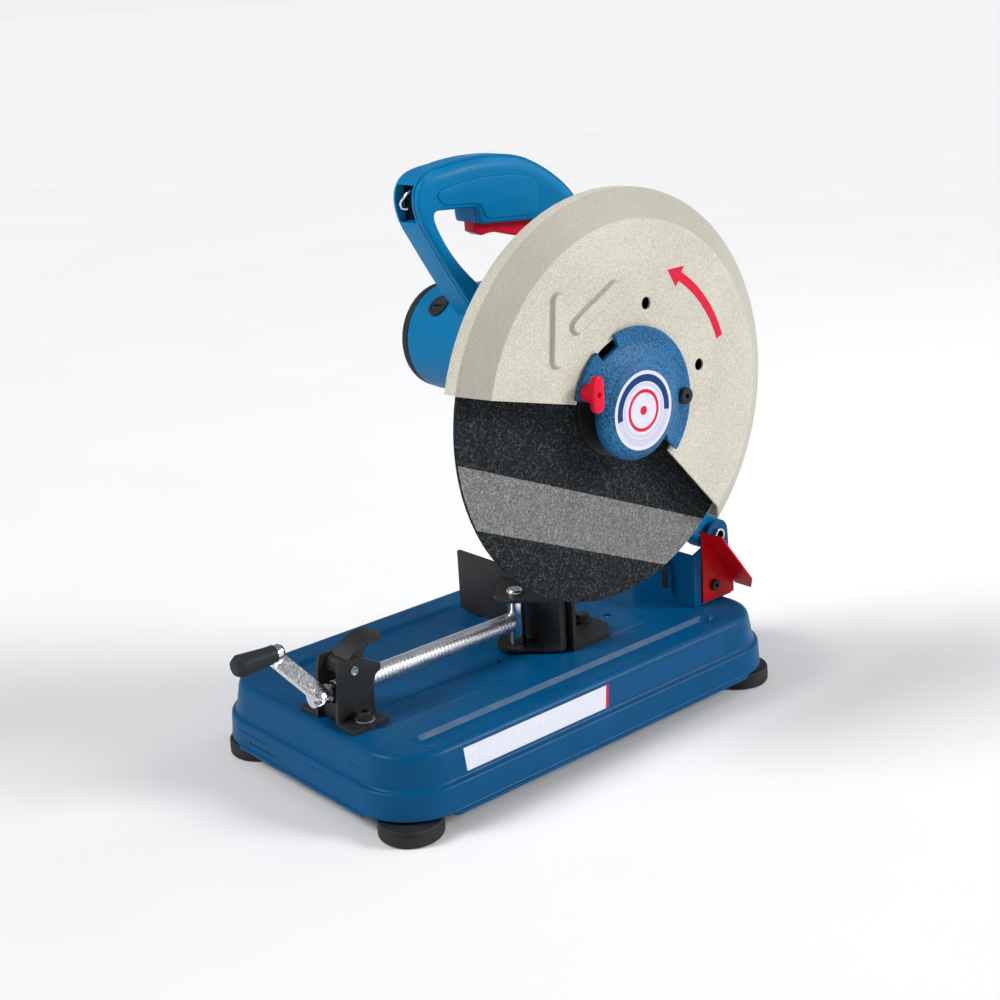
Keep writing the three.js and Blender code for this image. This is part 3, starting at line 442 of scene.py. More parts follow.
def face_outwards(sheet, axis):
    """Turns an open sheet's faces round if its first one looks down that axis."""
    if sheet.data.polygons[0].normal["xyz".index(axis)] < 0:
        clean(sheet.data, inside_out=True)


def smooth(mesh, angle=35):
    for polygon in mesh.polygons:
        polygon.use_smooth = True
    mesh.set_sharp_from_angle(angle=math.radians(angle))


def applied(obj):
    """Bakes an object's modifiers, or a curve's surface, into a plain mesh object."""
    graph = bpy.context.evaluated_depsgraph_get()
    graph.update()
    mesh = bpy.data.meshes.new_from_object(obj.evaluated_get(graph))
    if obj.type == "MESH":
        obj.modifiers.clear()
        obj.data = mesh
        return obj
    made = bpy.data.objects.new(obj.name + "_mesh", mesh)
    made.matrix_world = obj.matrix_world
    link(made)
    bpy.data.objects.remove(obj)
    return made


def carve(obj, cutters, operation="DIFFERENCE"):
    """Cuts the cutters out of obj, one after the other, and throws them away."""
    for cutter in cutters:
        change = obj.modifiers.new("carve", "BOOLEAN")
        change.operation = operation
        change.solver = "EXACT"
        change.object = cutter
        applied(obj)
        bpy.data.objects.remove(cutter)
    clean(obj.data)
    return obj


def thicken(obj, thickness):
    """Gives an open sheet its gauge, inwards from its outer face."""
    change = obj.modifiers.new("gauge", "SOLIDIFY")
    change.thickness = thickness * MM
    change.offset = -1.0
    change.use_even_offset = True
    applied(obj)
    clean(obj.data)
    return obj


def edge_round(obj, width, segments=3, angle=32):
    change = obj.modifiers.new("edges", "BEVEL")
    change.width = width * MM
    change.segments = segments
    change.limit_method = "ANGLE"
    change.angle_limit = math.radians(angle)
    weighted = obj.modifiers.new("normals", "WEIGHTED_NORMAL")
    weighted.keep_sharp = True
    for polygon in obj.data.polygons:
        polygon.use_smooth = True
    return obj


def dress(obj, name, body, slot, look=None, angle=35, bevel=0.0):
    """Names a piece, gives it its material and shading, and sets it on its body."""
    obj.name = name
    obj.data.name = name
    if not obj.data.materials:
        obj.data.materials.append(LOOKS[look or slot])
    if bevel:
        edge_round(obj, bevel)
    else:
        smooth(obj.data, angle)
    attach(obj, body)


def replace_node(obj, name, node, look=None, angle=35, bevel=0.0, body=None):
    """Dresses a piece that takes a node's place, on the node's own slot and mostly its body."""
    dress(obj, name, body or BODY_OF[node], SLOT_OF[node], look, angle, bevel)
    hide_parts(node)


def arc(u, v, r, start_angle, end_angle, steps):
    points = []
    for i in range(steps + 1):
        angle = math.radians(start_angle + (end_angle - start_angle) * i / steps)
        points.append((u + r * math.cos(angle), v + r * math.sin(angle)))
    return points


def circle(u, v, r, sides):
    return arc(u, v, r, 0, 360 - 360 / sides, sides - 1)


def bezier(a, b, c, d, steps):
    points = []
    for i in range(1, steps + 1):
        t = i / steps
        s = 1 - t
        weights = (s**3, 3 * s * s * t, 3 * s * t * t, t**3)
        points.append(tuple(sum(w * p[k] for w, p in zip(weights, (a, b, c, d))) for k in (0, 1)))
    return points


def path(start_point, *legs):
    """An outline from points and curves; a curve is two handles, its end and its steps."""
    points = [start_point]
    for leg in legs:
        points += [leg] if len(leg) == 2 else bezier(points[-1], *leg)
    return points


def corner_curve(outline, i, radius, most, shares):
    """The soft curve in place of corner i, cut up to a radius and a share of each side."""
    corner = outline[i]
    before = Vector(outline[i - 1]) - Vector(corner)
    after = Vector(outline[(i + 1) % len(outline)]) - Vector(corner)
    a = Vector(corner) + before.normalized() * min(radius, before.length * most)
    b = Vector(corner) + after.normalized() * min(radius, after.length * most)
    return [
        tuple((1 - t) ** 2 * a[j] + 2 * t * (1 - t) * corner[j] + t * t * b[j] for j in (0, 1))
        for t in shares
    ]


def softened(outline, radius, steps=4):
    """A closed outline with its corners rounded by about that radius."""
    shares = [k / steps for k in range(steps + 1)]
    return [p for i in range(len(outline)) for p in corner_curve(outline, i, radius, 0.48, shares)]


def capsule(u0, v0, u1, v1, r, steps=10):
    lean = math.degrees(math.atan2(v1 - v0, u1 - u0))
    return arc(u1, v1, r, lean - 90, lean + 90, steps) + arc(u0, v0, r, lean + 90, lean + 270, steps)


def on_axis(axis, u, v, w):
    """A plane outline's point and its height along the axis, as a point of the frame."""
    if axis == "x":
        return at(w, u, v)
    if axis == "y":
        return at(v, w, u)
    return at(u, v, w)


def prism(axis, outline, low, high):
    """A closed slab of that outline: (y, z) for axis x, (z, x) for axis y, (x, y) for axis z."""
    count = len(outline)
    points = [on_axis(axis, u, v, w) for w in (low, high) for u, v in outline]
    faces = [tuple(range(count)), tuple(range(2 * count - 1, count - 1, -1))]
    faces += [(i, (i + 1) % count, count + (i + 1) % count, count + i) for i in range(count)]
    return new_object("prism", points, faces)


def block(x0, x1, y0, y1, z0, z1):
    return prism("z", [(x0, y0), (x1, y0), (x1, y1), (x0, y1)], z0, z1)


def lathe(axis, u, v, profile, steps=64, start_angle=0.0, end_angle=360.0):
    """Turns a closed [radius, height] profile about an axis through (u, v)."""
    whole = end_angle - start_angle >= 360
    count = steps if whole else steps + 1
    points = []
    for i in range(count):
        angle = math.radians(start_angle + (end_angle - start_angle) * i / steps)
        for r, h in profile:
            points.append(on_axis(axis, u + r * math.cos(angle), v + r * math.sin(angle), h))
    n = len(profile)
    faces = []
    for i in range(steps):
        for k in range(n):
            a, b = i * n + k, i * n + (k + 1) % n
            c, d = ((i + 1) % count) * n + (k + 1) % n, ((i + 1) % count) * n + k
            faces.append((a, b, c, d))
    if not whole:
        faces += [tuple(range(n)), tuple(range(count * n - 1, count * n - 1 - n, -1))]
    return new_object("lathe", points, faces)


def turned(axis, u, v, profile, radius=0.6, steps=64):
    """A lathe whose profile's corners are rounded, apart from those on its axis."""
    made = []
    for i, (r, h) in enumerate(profile):
        if r == 0:
            made.append((r, h))
            continue
        sides = (profile[i - 1], profile[(i + 1) % len(profile)])
        cut = min(radius, *((Vector(p) - Vector((r, h))).length * 0.45 for p in sides))
        made += corner_curve(profile, i, cut, 1.0, (0.0, 0.33, 0.67, 1.0))
    return lathe(axis, u, v, made, steps)


def drum(r, low, high, inner=0):
    """The profile of a plain round piece, solid or with a bore."""
    return [(inner, low), (r, low), (r, high), (inner, high)]


def skin(rings):
    """A closed round body through rings of as many points each."""
    sides = len(rings[0])
    faces = []
    for i in range(len(rings) - 1):
        for k in range(sides):
            a, b = i * sides + k, i * sides + (k + 1) % sides
            faces.append((a, b, b + sides, a + sides))
    last = (len(rings) - 1) * sides
    faces += [tuple(range(sides))[::-1], tuple(range(last, last + sides))]
    return new_object("skin", [p for ring in rings for p in ring], faces)


def tube(points, radius, sides=10):
    """A round bar along a line of points in datum millimetres."""
    path = [Vector(p) for p in points]
    rings = []
    side = None
    for i, p in enumerate(path):
        ahead = (path[min(i + 1, len(path) - 1)] - path[max(i - 1, 0)]).normalized()
        if side is None:
            side = ahead.orthogonal().normalized()
        side = (side - ahead * side.dot(ahead)).normalized()
        other = ahead.cross(side)
        turns = (2 * math.pi * k / sides for k in range(sides))
        rings.append([at(*(p + radius * (math.cos(a) * side + math.sin(a) * other))) for a in turns])
    return skin(rings)


def turn_mesh(obj, pivot, degrees, axis):
    turn = Matrix.Rotation(math.radians(degrees), 4, axis)
    obj.data.transform(Matrix.Translation(pivot) @ turn @ Matrix.Translation(-pivot))


def rounded_slab(axis, outlines, low, high, bevel, resolution=4):
    """A slab with holes whose edges are rounded all round, through a filled 2D curve."""
    data = bpy.data.curves.new("slab", "CURVE")
    data.dimensions = "2D"
    data.fill_mode = "BOTH"
    for outline in outlines:
        spline = data.splines.new("POLY")
        spline.points.add(len(outline) - 1)
        for point, (u, v) in zip(spline.points, outline):
            point.co = (u * MM, v * MM, 0, 1)
        spline.use_cyclic_u = True
    data.extrude = ((high - low) / 2 - bevel) * MM
    data.bevel_depth = bevel * MM
    data.offset = -bevel * MM
    data.bevel_resolution = resolution
    obj = bpy.data.objects.new("slab", data)
    link(obj)
    made = applied(obj)
    middle_height = (low + high) / 2 * MM
    for vertex in made.data.vertices:
        u, v, w = vertex.co
        vertex.co = on_axis(axis, u / MM, v / MM, (w + middle_height) / MM)
    clean(made.data)
    return made


def sheet_grid(rows, columns, place_point):
    """An open sheet of quads from a function of (row, column)."""
    points = [place_point(i, j) for i in range(rows) for j in range(columns)]
    faces = []
    for i in range(rows - 1):
        for j in range(columns - 1):
            a = i * columns + j
            faces.append((a, a + 1, a + columns + 1, a + columns))
    return new_object("grid", points, faces)


SOCKET_DEPTH = 2.2


def socket_screw(node, seat, head_r, head_h, socket_r, body):
    """A round-headed screw with a hexagon recess, standing along x from its seat."""
    place_at = middle_mm(node)
    top = seat + head_h
    head = turned("x", place_at.y, place_at.z, drum(head_r, seat, top), 1.2, 40)
    hexagon = circle(place_at.y, place_at.z, socket_r, 6)
    carve(head, [prism("x", hexagon, top - SOCKET_DEPTH, top + 2)])
    replace_node(head, f"{node}_head", node, body=body)


# ---- base
BASE_LOW, BASE_HIGH = (datum_mm(p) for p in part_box("base_shell"))
LIP_OUT = 13
WALL_X = (BASE_LOW.x + LIP_OUT, BASE_HIGH.x - LIP_OUT)
WALL_Y = (BASE_LOW.y + LIP_OUT, BASE_HIGH.y - LIP_OUT)
BASE_TOP = BASE_HIGH.z
BASE_FOOT = BASE_LOW.z
CORNER_R = 45
LEDGE_Z = 42
EDGE_R = 6
CORNER_LIP = 11.3  # the lip turns out less than this round the corners
LONG_GROOVE = (-1.5, -127, -1.5, 218)  # x and y of one end, then of the other
SLOT_RING = (-217, -170, -112, 150, 12)  # x from and to, y from and to, corner radius
RAISED_RING = (-140, -42, -150, 196, 16)
RING_HALF = 4
WALL_TOP, WALL_LEDGE = (0.4, 66.0), (4.5, 44.0)  # outward from the top outline, height
WALL_GAUGE = 3


def groove(distance, half_width, depth, flank=3.0):
    """How deep a pressed groove is at that distance from its middle line."""
    share = min(1.0, max(0.0, (half_width - distance) / flank))
    return depth * share * share * (3 - 2 * share)


def from_segment(x, y, x0, y0, x1, y1):
    squared = (x1 - x0) ** 2 + (y1 - y0) ** 2
    t = min(1.0, max(0.0, ((x - x0) * (x1 - x0) + (y - y0) * (y1 - y0)) / squared))
    return math.hypot(x - x0 - t * (x1 - x0), y - y0 - t * (y1 - y0))


def from_rectangle(x, y, x0, x1, y0, y1, corner):
    """How far inside a rounded rectangle's edge a point lies."""
    dx = abs(x - (x0 + x1) / 2) - (x1 - x0) / 2 + corner
    dy = abs(y - (y0 + y1) / 2) - (y1 - y0) / 2 + corner
    return corner - math.hypot(max(dx, 0), max(dy, 0)) - min(max(dx, dy), 0)


def top_height(x, y):
    """The pressed grooves of the top, as a height from its flat."""
    height = -groove(from_segment(x, y, *LONG_GROOVE), 10.5, 4.4, 2.6)
    height -= groove(RING_HALF - from_rectangle(x, y, *SLOT_RING), RING_HALF, 2.8, 3.0)
    height -= groove(RING_HALF - from_rectangle(x, y, *RAISED_RING), RING_HALF, 1.2, 3.2)
    return height


# outward from the top outline, height
WALL_PROFILE = [(-3.6, 71.3), (-1.6, 70.1), (-0.3, 68.2), WALL_TOP, (1.6, 60.0), (2.8, 53.0)]
WALL_PROFILE += [(3.9, 46.5), WALL_LEDGE, (5.6, 42.5), (7.2, 42.0), (8.4, 41.6), (9.2, 40.4)]
WALL_PROFILE += [(9.5, 38.5), (10.0, 32.0), (10.5, 25.0), (10.8, 21.0), (11.2, 19.5)]
WALL_PROFILE += [(12.0, 18.8), (13.0, 18.7)]


def base_sheet():
    """The pressed top, its rounded corners, the stepped walls and the turned-out lip."""
    inner_x = (WALL_X[0] + EDGE_R, WALL_X[1] - EDGE_R)
    inner_y = (WALL_Y[0] + EDGE_R, WALL_Y[1] - EDGE_R)
    centre = ((inner_x[0] + inner_x[1]) / 2, (inner_y[0] + inner_y[1]) / 2)
    half = ((inner_x[1] - inner_x[0]) / 2, (inner_y[1] - inner_y[0]) / 2)
    corner = CORNER_R - EDGE_R
    nx, ny = 96, 160

    def rounded_place(i, j):
        """The square grid's point, pulled round at the corners, and its outward direction."""
        x = -half[0] + 2 * half[0] * i / nx
        y = -half[1] + 2 * half[1] * j / ny
        u = (abs(x) - half[0] + corner) / corner
        v = (abs(y) - half[1] + corner) / corner
        if u <= 0 or v <= 0:
            return x, y, (math.copysign(1, x), 0) if u > v else (0, math.copysign(1, y))
        pulled_u = u * math.sqrt(1 - v * v / 2)
        pulled_v = v * math.sqrt(1 - u * u / 2)
        new_x = math.copysign(half[0] - corner + corner * pulled_u, x)
        new_y = math.copysign(half[1] - corner + corner * pulled_v, y)
        return new_x, new_y, (math.copysign(pulled_u, x), math.copysign(pulled_v, y))

    points = []
    for i in range(nx + 1):
        for j in range(ny + 1):
            x, y, _ = rounded_place(i, j)
            x, y = x + centre[0], y + centre[1]
            points.append(at(x, y, BASE_TOP + top_height(x, y)))
    faces = []
    for i in range(nx):
        for j in range(ny):
            a = i * (ny + 1) + j
            faces.append((a, a + ny + 1, a + ny + 2, a + 1))
    rim = [(i, 0) for i in range(nx)] + [(nx, j) for j in range(ny)]
    rim += [(i, ny) for i in range(nx, 0, -1)] + [(0, j) for j in range(ny, 0, -1)]
    before = [i * (ny + 1) + j for i, j in rim]
    for out, z in WALL_PROFILE:
        ring = []
        for i, j in rim:
            x, y, (dx, dy) = rounded_place(i, j)
            round_corner = min(abs(dx), abs(dy)) > 0.02
            reach = min(out, CORNER_LIP) if round_corner else out
            step = (EDGE_R + reach) / math.hypot(dx, dy)
            ring.append(len(points))
            points.append(at(x + centre[0] + dx * step, y + centre[1] + dy * step, z))
        count = len(ring)
        for k in range(count):
            faces.append((before[k], ring[k], ring[(k + 1) % count], before[(k + 1) % count]))
        before = ring
    return new_object("base", points, faces)


# short pressed dashes in the front wall: x from, x to and height
WALL_DASHES = (
    (-205, -150, 58),
    (-125, -90, 56),
    (-46, -27, 54),
    (-215, -165, 33),
    (-190, -150, 25.5),
    (-102, -66, 36),
)
UPPER_WALL_OUT, LOWER_WALL_OUT = 3.2, 10.4


def base():
    shell = base_sheet()
    face_outwards(shell, "z")
    thicken(shell, WALL_GAUGE)
    cutters = [
        prism("z", outline, BASE_TOP - 8, BASE_TOP + 4)
        for outline in (capsule(-82, -116, -79, 20, 2.8), circle(-83, 165, 4, 36))
    ]
    for x0, x1, z in WALL_DASHES:
        wall = WALL_Y[0] - (UPPER_WALL_OUT if z > LEDGE_Z else LOWER_WALL_OUT)
        cutters.append(prism("y", capsule(z, x0, z, x1, 0.7, 5), wall - 4, wall + 0.9))
    carve(shell, cutters)
    replace_node(shell, "base_body", "base_shell", angle=38)


def foot(node):
    """A turned rubber foot with a groove near its top and a hollow underneath."""
    r = 28
    top = BASE_FOOT - 0.3
    profile = [(0, 1.5), (14, 1.5), (19, 0), (r - 2, 0), (r, 2.2), (r, 10.6)]
    profile += [(r - 1.2, 11.4), (r, 12.2), (r - 0.8, top), (0, top)]
    place_at = middle_mm(node)
    body = turned("z", place_at.x, place_at.y, profile, 0.9, 72)
    replace_node(body, f"{node}_rubber", node)


# ---- base labels
LABEL_LOW, LABEL_HIGH = 46.2, 65.6


def wall_reach(z):
    """How far the upper wall stands out of the top outline at a height."""
    share = (WALL_TOP[1] - z) / (WALL_TOP[1] - WALL_LEDGE[1])
    return WALL_TOP[0] + share * (WALL_LEDGE[0] - WALL_TOP[0])


def wall_label(colour, low_ends, high_ends):
    """A printed panel on the right wall, from its lower and its upper edge's ends along y."""
    steps = 6
    lift = 0.25

    def spot(i, j):
        s, t = i / steps, j / steps
        low, high = ((1 - s) * ends[0] + s * ends[1] for ends in (low_ends, high_ends))
        z = (1 - t) * LABEL_LOW + t * LABEL_HIGH
        return at(WALL_X[1] + wall_reach(z) + lift, (1 - t) * low + t * high, z)

    sheet = sheet_grid(steps + 1, steps + 1, spot)
    face_outwards(sheet, "x")
    thicken(sheet, 0.2)
    dress(sheet, f"side_label_{colour}", "base", "blue_steel", f"label_{colour}")


# ---- guard
GUARD_R = 186
GUARD_FACE_R = 161
GUARD_FACE_X = 24
GUARD_RIM_X = -2
GUARD_START, GUARD_END = -47, 166
GUARD_GAUGE = 2
HUB_HOLE_R = 66
FLUTES = ((-84, 58, -80, 106), (-60, 82, -16, 106))  # ends, from the wheel's middle
GUARD_HOLE_R = 5.5
GUARD_HOLES = (75.7, 13.6)  # degrees round the wheel's middle
GUARD_HOLE_REACH = 90


def polar(r, degrees, centre=WHEEL):
    """The (y, z) of a point round the wheel's middle, or round another one."""
    turn = math.radians(degrees)
    return (centre.y + r * math.cos(turn), centre.z + r * math.sin(turn))


FACE_STEPS = 70
FACE_WIDTH = GUARD_FACE_R - 3 - HUB_HOLE_R
GUARD_PROFILE = (
    # radius, x: the flat face, its soft edge, the slope and the rim
    [(HUB_HOLE_R + k * FACE_WIDTH / FACE_STEPS, GUARD_FACE_X) for k in range(FACE_STEPS + 1)]
    + [(159.6, GUARD_FACE_X), (160.8, 23.9), (161.6, 23.5), (162.6, 22.9), (163.6, 22.3)]
    + [(170, 18.6), (176, 15.2), (182, 11.7), (184, 10.5), (185, 9.7), (185.7, 8.4)]
    + [(GUARD_R, x) for x in (6.8, 4, 1, GUARD_RIM_X)]
)


def flute_height(y, z):
    """The two pressed flutes stand proud of the guard's face."""
    across, up = y - WHEEL.y, z - WHEEL.z
    return groove(min(from_segment(across, up, *flute) for flute in FLUTES), 8, 3.2, 2.6)


def guard():
    steps = 420

    def spot(i, j):
        r, x = GUARD_PROFILE[j]
        y, z = polar(r, GUARD_START + (GUARD_END - GUARD_START) * i / steps)
        if x == GUARD_FACE_X:
            x += flute_height(y, z)
        return at(x, y, z)

    shell = sheet_grid(steps + 1, len(GUARD_PROFILE), spot)
    face_outwards(shell, "x")
    thicken(shell, GUARD_GAUGE)
    places = [polar(GUARD_HOLE_REACH, degrees) for degrees in GUARD_HOLES]
    carve(shell, [prism("x", circle(*place_at, GUARD_HOLE_R, 36), 10, 40) for place_at in places])
    replace_node(shell, "guard_shell", "guard_cover", angle=40)


def turning_arrow():
    """A generic red arrow that shows which way the wheel turns."""
    low, high = 20, 58  # degrees
    steps = 24
    sheet_x = GUARD_FACE_X + 0.05
    tail = [polar(118, low + (high - low) * i / steps) for i in range(steps + 1)]
    back = [polar(126, high - (high - low) * i / steps) for i in range(steps + 1)]
    tip = [polar(112, high), polar(122, high + 8), polar(132, high)]
    mark = prism("x", tail + tip + back, sheet_x, sheet_x + 0.2)
    dress(mark, "turning_arrow", "head", "cream_steel", "label_red")


# ---- hub cover and its label
COVER_X = GUARD_FACE_X + 0.8
COVER_R = 71
COVER_START, COVER_END = -43, 163
COVER_SEAT = COVER_X + 4.3  # where its screws sit
DOME_TOP = COVER_X + 14
LABEL_SWEEP = (190, 350)  # the lower part of the round label, in degrees
# outer radius and colour of each ring, from the middle outwards
LABEL_RINGS = [(4, "red"), (8.5, "white"), (12.5, "white"), (15.5, "white"), (18.5, "red")]
LABEL_RINGS += [(21.5, "white"), (24, "lilac"), (25.2, "white"), (31.4, "navy")]
LABEL_RINGS += [(32.4, "white"), (34.6, "white")]


def hub_cover():
    """A flat sector flange that swells into the round cap over the arbor."""
    profile = [(40, 0.4), (COVER_R - 1, 0), (COVER_R, 1), (COVER_R, 3), (COVER_R - 1, 4), (64, 4)]
    profile += [(60, 4), (57, 4.3), (54, 5.3), (51, 6.9), (48, 8.8), (45.5, 10.4), (40, 11)]
    profile = [(r, COVER_X + h) for r, h in profile]
    flange = lathe("x", WHEEL.y, WHEEL.z, profile, 120, COVER_START, COVER_END)
    chord = prism("x", [polar(60, 107), polar(120, 107), polar(120, 127), polar(60, 127)], 10, 60)
    carve(flange, [chord])
    dress(flange, "hub_cover_flange", "hub_cover", "blue_steel", "blue_hammered", angle=40)
    profile = [(0, DOME_TOP), (37, DOME_TOP), (45, DOME_TOP - 5.5), (45, COVER_X), (42, COVER_X)]
    profile += [(42, DOME_TOP - 6), (35, DOME_TOP - 3), (0, DOME_TOP - 3)]
    cap = turned("x", WHEEL.y, WHEEL.z, profile, 3.0, 120)
    replace_node(cap, "hub_cover_cap", "hub_cover", "blue_hammered", angle=40)


def hub_label():
    """A round foil label: navy arc above, pale arc below, red ring mark inside."""
    steps = 120
    radii = [0] + [r for r, _ in LABEL_RINGS]
    points = [at(DOME_TOP + 0.25, *polar(r, 360 * i / steps)) for r in radii for i in range(steps)]
    colours = ["white", "lilac", "navy", "red"]
    faces = []
    chosen = []
    for k, (_, colour) in enumerate(LABEL_RINGS):
        for i in range(steps):
            a, b = k * steps + i, k * steps + (i + 1) % steps
            faces.append((a, a + steps, b + steps, b))
            low = LABEL_SWEEP[0] < 360 * (i + 0.5) / steps < LABEL_SWEEP[1]
            chosen.append(colours.index("lilac" if low and colour == "navy" else colour))
    mesh = bpy.data.meshes.new("hub_label")
    mesh.from_pydata([tuple(p) for p in points], [], faces)
    for colour in colours:
        mesh.materials.append(LOOKS[f"label_{colour}"])
    for polygon, index in zip(mesh.polygons, chosen):
        polygon.material_index = index
    label = bpy.data.objects.new("hub_label", mesh)
    link(label)
    clean(mesh)
    face_outwards(label, "x")
    thicken(label, 0.2)
    dress(label, "hub_label", "hub_cover", "blue_steel")


def wing_screw():
    """Red moulded thumb screw: a round collar and a flat wing with a blind hole."""
    place_at = middle_mm("wing_screw")
    y, z = place_at.y, place_at.z
    seat = COVER_SEAT
    profile = [(0, seat - 3), (3, seat - 3), (3, seat), (7.6, seat), (7.6, seat + 12), (0, seat + 12)]
    collar = turned("x", y, z, profile, 1.0, 48)
    replace_node(collar, "wing_screw_collar", "wing_screw")
    wing = rounded_slab("x", [capsule(y, z - 9.5, y, z + 9.5, 6.5, 14)], seat + 9.5, seat + 15.6, 2.2)
    carve(wing, [prism("x", circle(y, z, 2.3, 18), seat + 12.5, seat + 18)])
    dress(wing, "wing_screw_wing", "wing_screw", "red_plastic", angle=50)


# ---- wheel
def wheel():
    half = 1.5
    bore, edge, chamfer = 12.7, WHEEL_R, 0.5
    profile = [(bore, -half), (edge - chamfer, -half), (edge, chamfer - half)]
    profile += [(edge, half - chamfer), (edge - chamfer, half), (bore, half)]
    disc = lathe("x", WHEEL.y, WHEEL.z, profile, 180)
    for look in ("abrasive_rim", "abrasive"):
        disc.data.materials.append(LOOKS[look])
    for polygon in disc.data.polygons:
        polygon.material_index = 1 if polygon.normal.x > 0.9 else 0
    replace_node(disc, "abrasive_disc", "abrasive_wheel", angle=30)


# ---- D-handle
HANDLE_X = HANDLE.x
HANDLE_W = 36
PARTING_X = HANDLE_X + 12
POCKET_BACK = -27
TRIGGER_W = 15
MOTOR_R = 49


def handle_top():
    """The grip's top line, from the nose to the heel."""
    return path(
        (-6, 524),
        ((20, 529), (60, 529), (84, 521), 14),
        ((106, 513), (138, 494), (150, 472), 12),
    )


def handle_outer():
    front = path(
        (25, 388),
        (6, 414),
        ((-6, 432), (-20, 456), (-30, 472), 8),
        ((-38, 486), (-40, 502), (-33, 511), 8),
        ((-28, 518), (-18, 522), (-6, 524), 6),
    )
    heel = path((150, 472), ((158, 450), (158, 410), (150, 372), 10), (118, 366), (90, 392), (40, 392))
    return front + handle_top()[1:] + heel[1:]


def handle_window():
    front = path(
        (26, 418),
        ((14, 428), (-4, 446), (-15, 468), 10),
        ((-22, 482), (-23, 488), (-14, 487.5), 6),
    )
    ledge = [(24, 485.2), (26.4, 484.2), (27.2, 482), (28, 474), (29, 471.6), (32, 470.7)]
    rear = path(
        (96, 466),
        ((112, 462), (122, 452), (122, 436), 8),
        ((122, 422), (112, 416), (100, 416), 6),
        (32, 415.5),
        (28, 416),
    )
    return front + ledge + rear


PAD = [(-19, 503), (6, 508), (36, 509.5), (60, 508.6), (82, 505.5), (93, 500), (95, 488)]
PAD += [(92, 471), (33, 474.5), (29.5, 488.5), (-12, 491.5)]


def grip_pads():
    """A slightly raised pad on each side of the grip."""
    for side, low, high in (("right", -1.5, 1.3), ("left", -1.3, 1.5)):
        face = HANDLE_X + (HANDLE_W / 2 if side == "right" else -HANDLE_W / 2)
        pad = rounded_slab("x", [softened(PAD, 7, 6)], face + low, face + high, 1.1, 3)
        dress(pad, f"grip_pad_{side}", "head", "blue_plastic", angle=40)


def handle_shell(side, ends, bevel, resolution, top_ends, cutters):
    """One moulded half: its top edges are rounded more than its others."""
    shell = rounded_slab("x", [handle_outer(), handle_window()], *ends, bevel, resolution)
    round_top = [(-60, 340), (-60, 520)] + handle_top() + [(162, 450), (162, 340)]
    carve(shell, [rounded_slab("x", [round_top], *top_ends, 13, 7)], "INTERSECT")
    motor = prism("x", circle(MOTOR.y, MOTOR.z, MOTOR_R + 0.2, 120), HANDLE_X - 23, HANDLE_X + 23)
    carve(shell, [*cutters, motor])
    replace_node(shell, f"handle_shell_{side}", f"handle_half_{side}", angle=40)


def handle():
    """Two moulded shells: a deep left one and a thin right cover, parted by a groove."""
    gap, far = 0.6, 40
    x0 = HANDLE_X - HANDLE_W / 2
    x1 = HANDLE_X + HANDLE_W / 2
    trim = block(PARTING_X - gap, PARTING_X + far, -100, 300, 300, 600)
    pocket = block(HANDLE_X - 13, PARTING_X - 3, -62, POCKET_BACK, 479, 510)
    ends, top_ends = (x0, PARTING_X + 6), (x0, PARTING_X + 30)
    handle_shell("left", ends, 4.0, 5, top_ends, [trim, pocket])
    trim = block(PARTING_X - far, PARTING_X + gap, -100, 300, 300, 600)
    ends, top_ends = (PARTING_X - 6, x1), (PARTING_X - 40, x1)
    handle_shell("right", ends, 3.0, 4, top_ends, [trim])


def trigger():
    curve = ((58, 464), (70, 452), (86, 453), 8)
    outline = path((30, 477), (30, 463), (38, 459), curve, (100, 462), (100, 474))
    half = TRIGGER_W / 2
    lever = rounded_slab("x", [softened(outline, 1.2, 2)], HANDLE_X - half, HANDLE_X + half, 1.6, 3)
    replace_node(lever, "trigger_lever", "trigger", angle=45)


def wire_hook():
    """A bent wire that springs from the back of the pocket: across, out of it, height."""
    bend = [(4, 0.5, 505), (4, -2, 505), (3.4, -4, 504.4), (2.2, -6.5, 502.4), (0.3, -8.3, 499.6)]
    bend += [(-2, -9.2, 497), (-3.6, -9, 494), (-4, -7.6, 491), (-3.2, -5.4, 489.8), (-1, -3.6, 490)]
    hook = tube([(HANDLE_X - 4 + across, POCKET_BACK + out, z) for across, out, z in bend], 1.3, 12)
    replace_node(hook, "wire_hook_bent", "wire_hook", angle=60)


def pocket_back_shade():
    """Painted shade: a near-black sheet on the back of the pocket."""
    front = POCKET_BACK - 0.4
    shade_sheet = block(HANDLE_X - 13.6, HANDLE_X + 9.6, front, POCKET_BACK + 0.3, 480.4, 509.6)
    dress(shade_sheet, "pocket_back_shade", "head", "blue_plastic", "gap_shade")


# ---- motor
MOTOR_X0 = -168
CAP_X = datum_mm(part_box("motor_end_cap")[0]).x
CAP_SLOTS = 18


def end_cap():
    """The motor's round cap with its ring of air slots."""
    seat = MOTOR_X0 - 1.6
    profile = [(8, CAP_X + 1.5), (12, CAP_X), (38, CAP_X), (45, CAP_X + 1.5), (48.4, CAP_X + 5)]
    profile += [(48.4, seat), (46, seat), (46, MOTOR_X0 - 0.3), (8, MOTOR_X0 - 0.3)]
    cap = turned("x", MOTOR.y, MOTOR.z, profile, 1.0, 96)
    slots = []
    for i in range(CAP_SLOTS):
        inner, outer = (polar(r, 360 / CAP_SLOTS * i, MOTOR) for r in (20, 34))
        slots.append(prism("x", capsule(*inner, *outer, 1.5, 5), CAP_X - 2, CAP_X + 5))
    carve(cap, slots)
    replace_node(cap, "end_cap_shell", "motor_end_cap", angle=40)


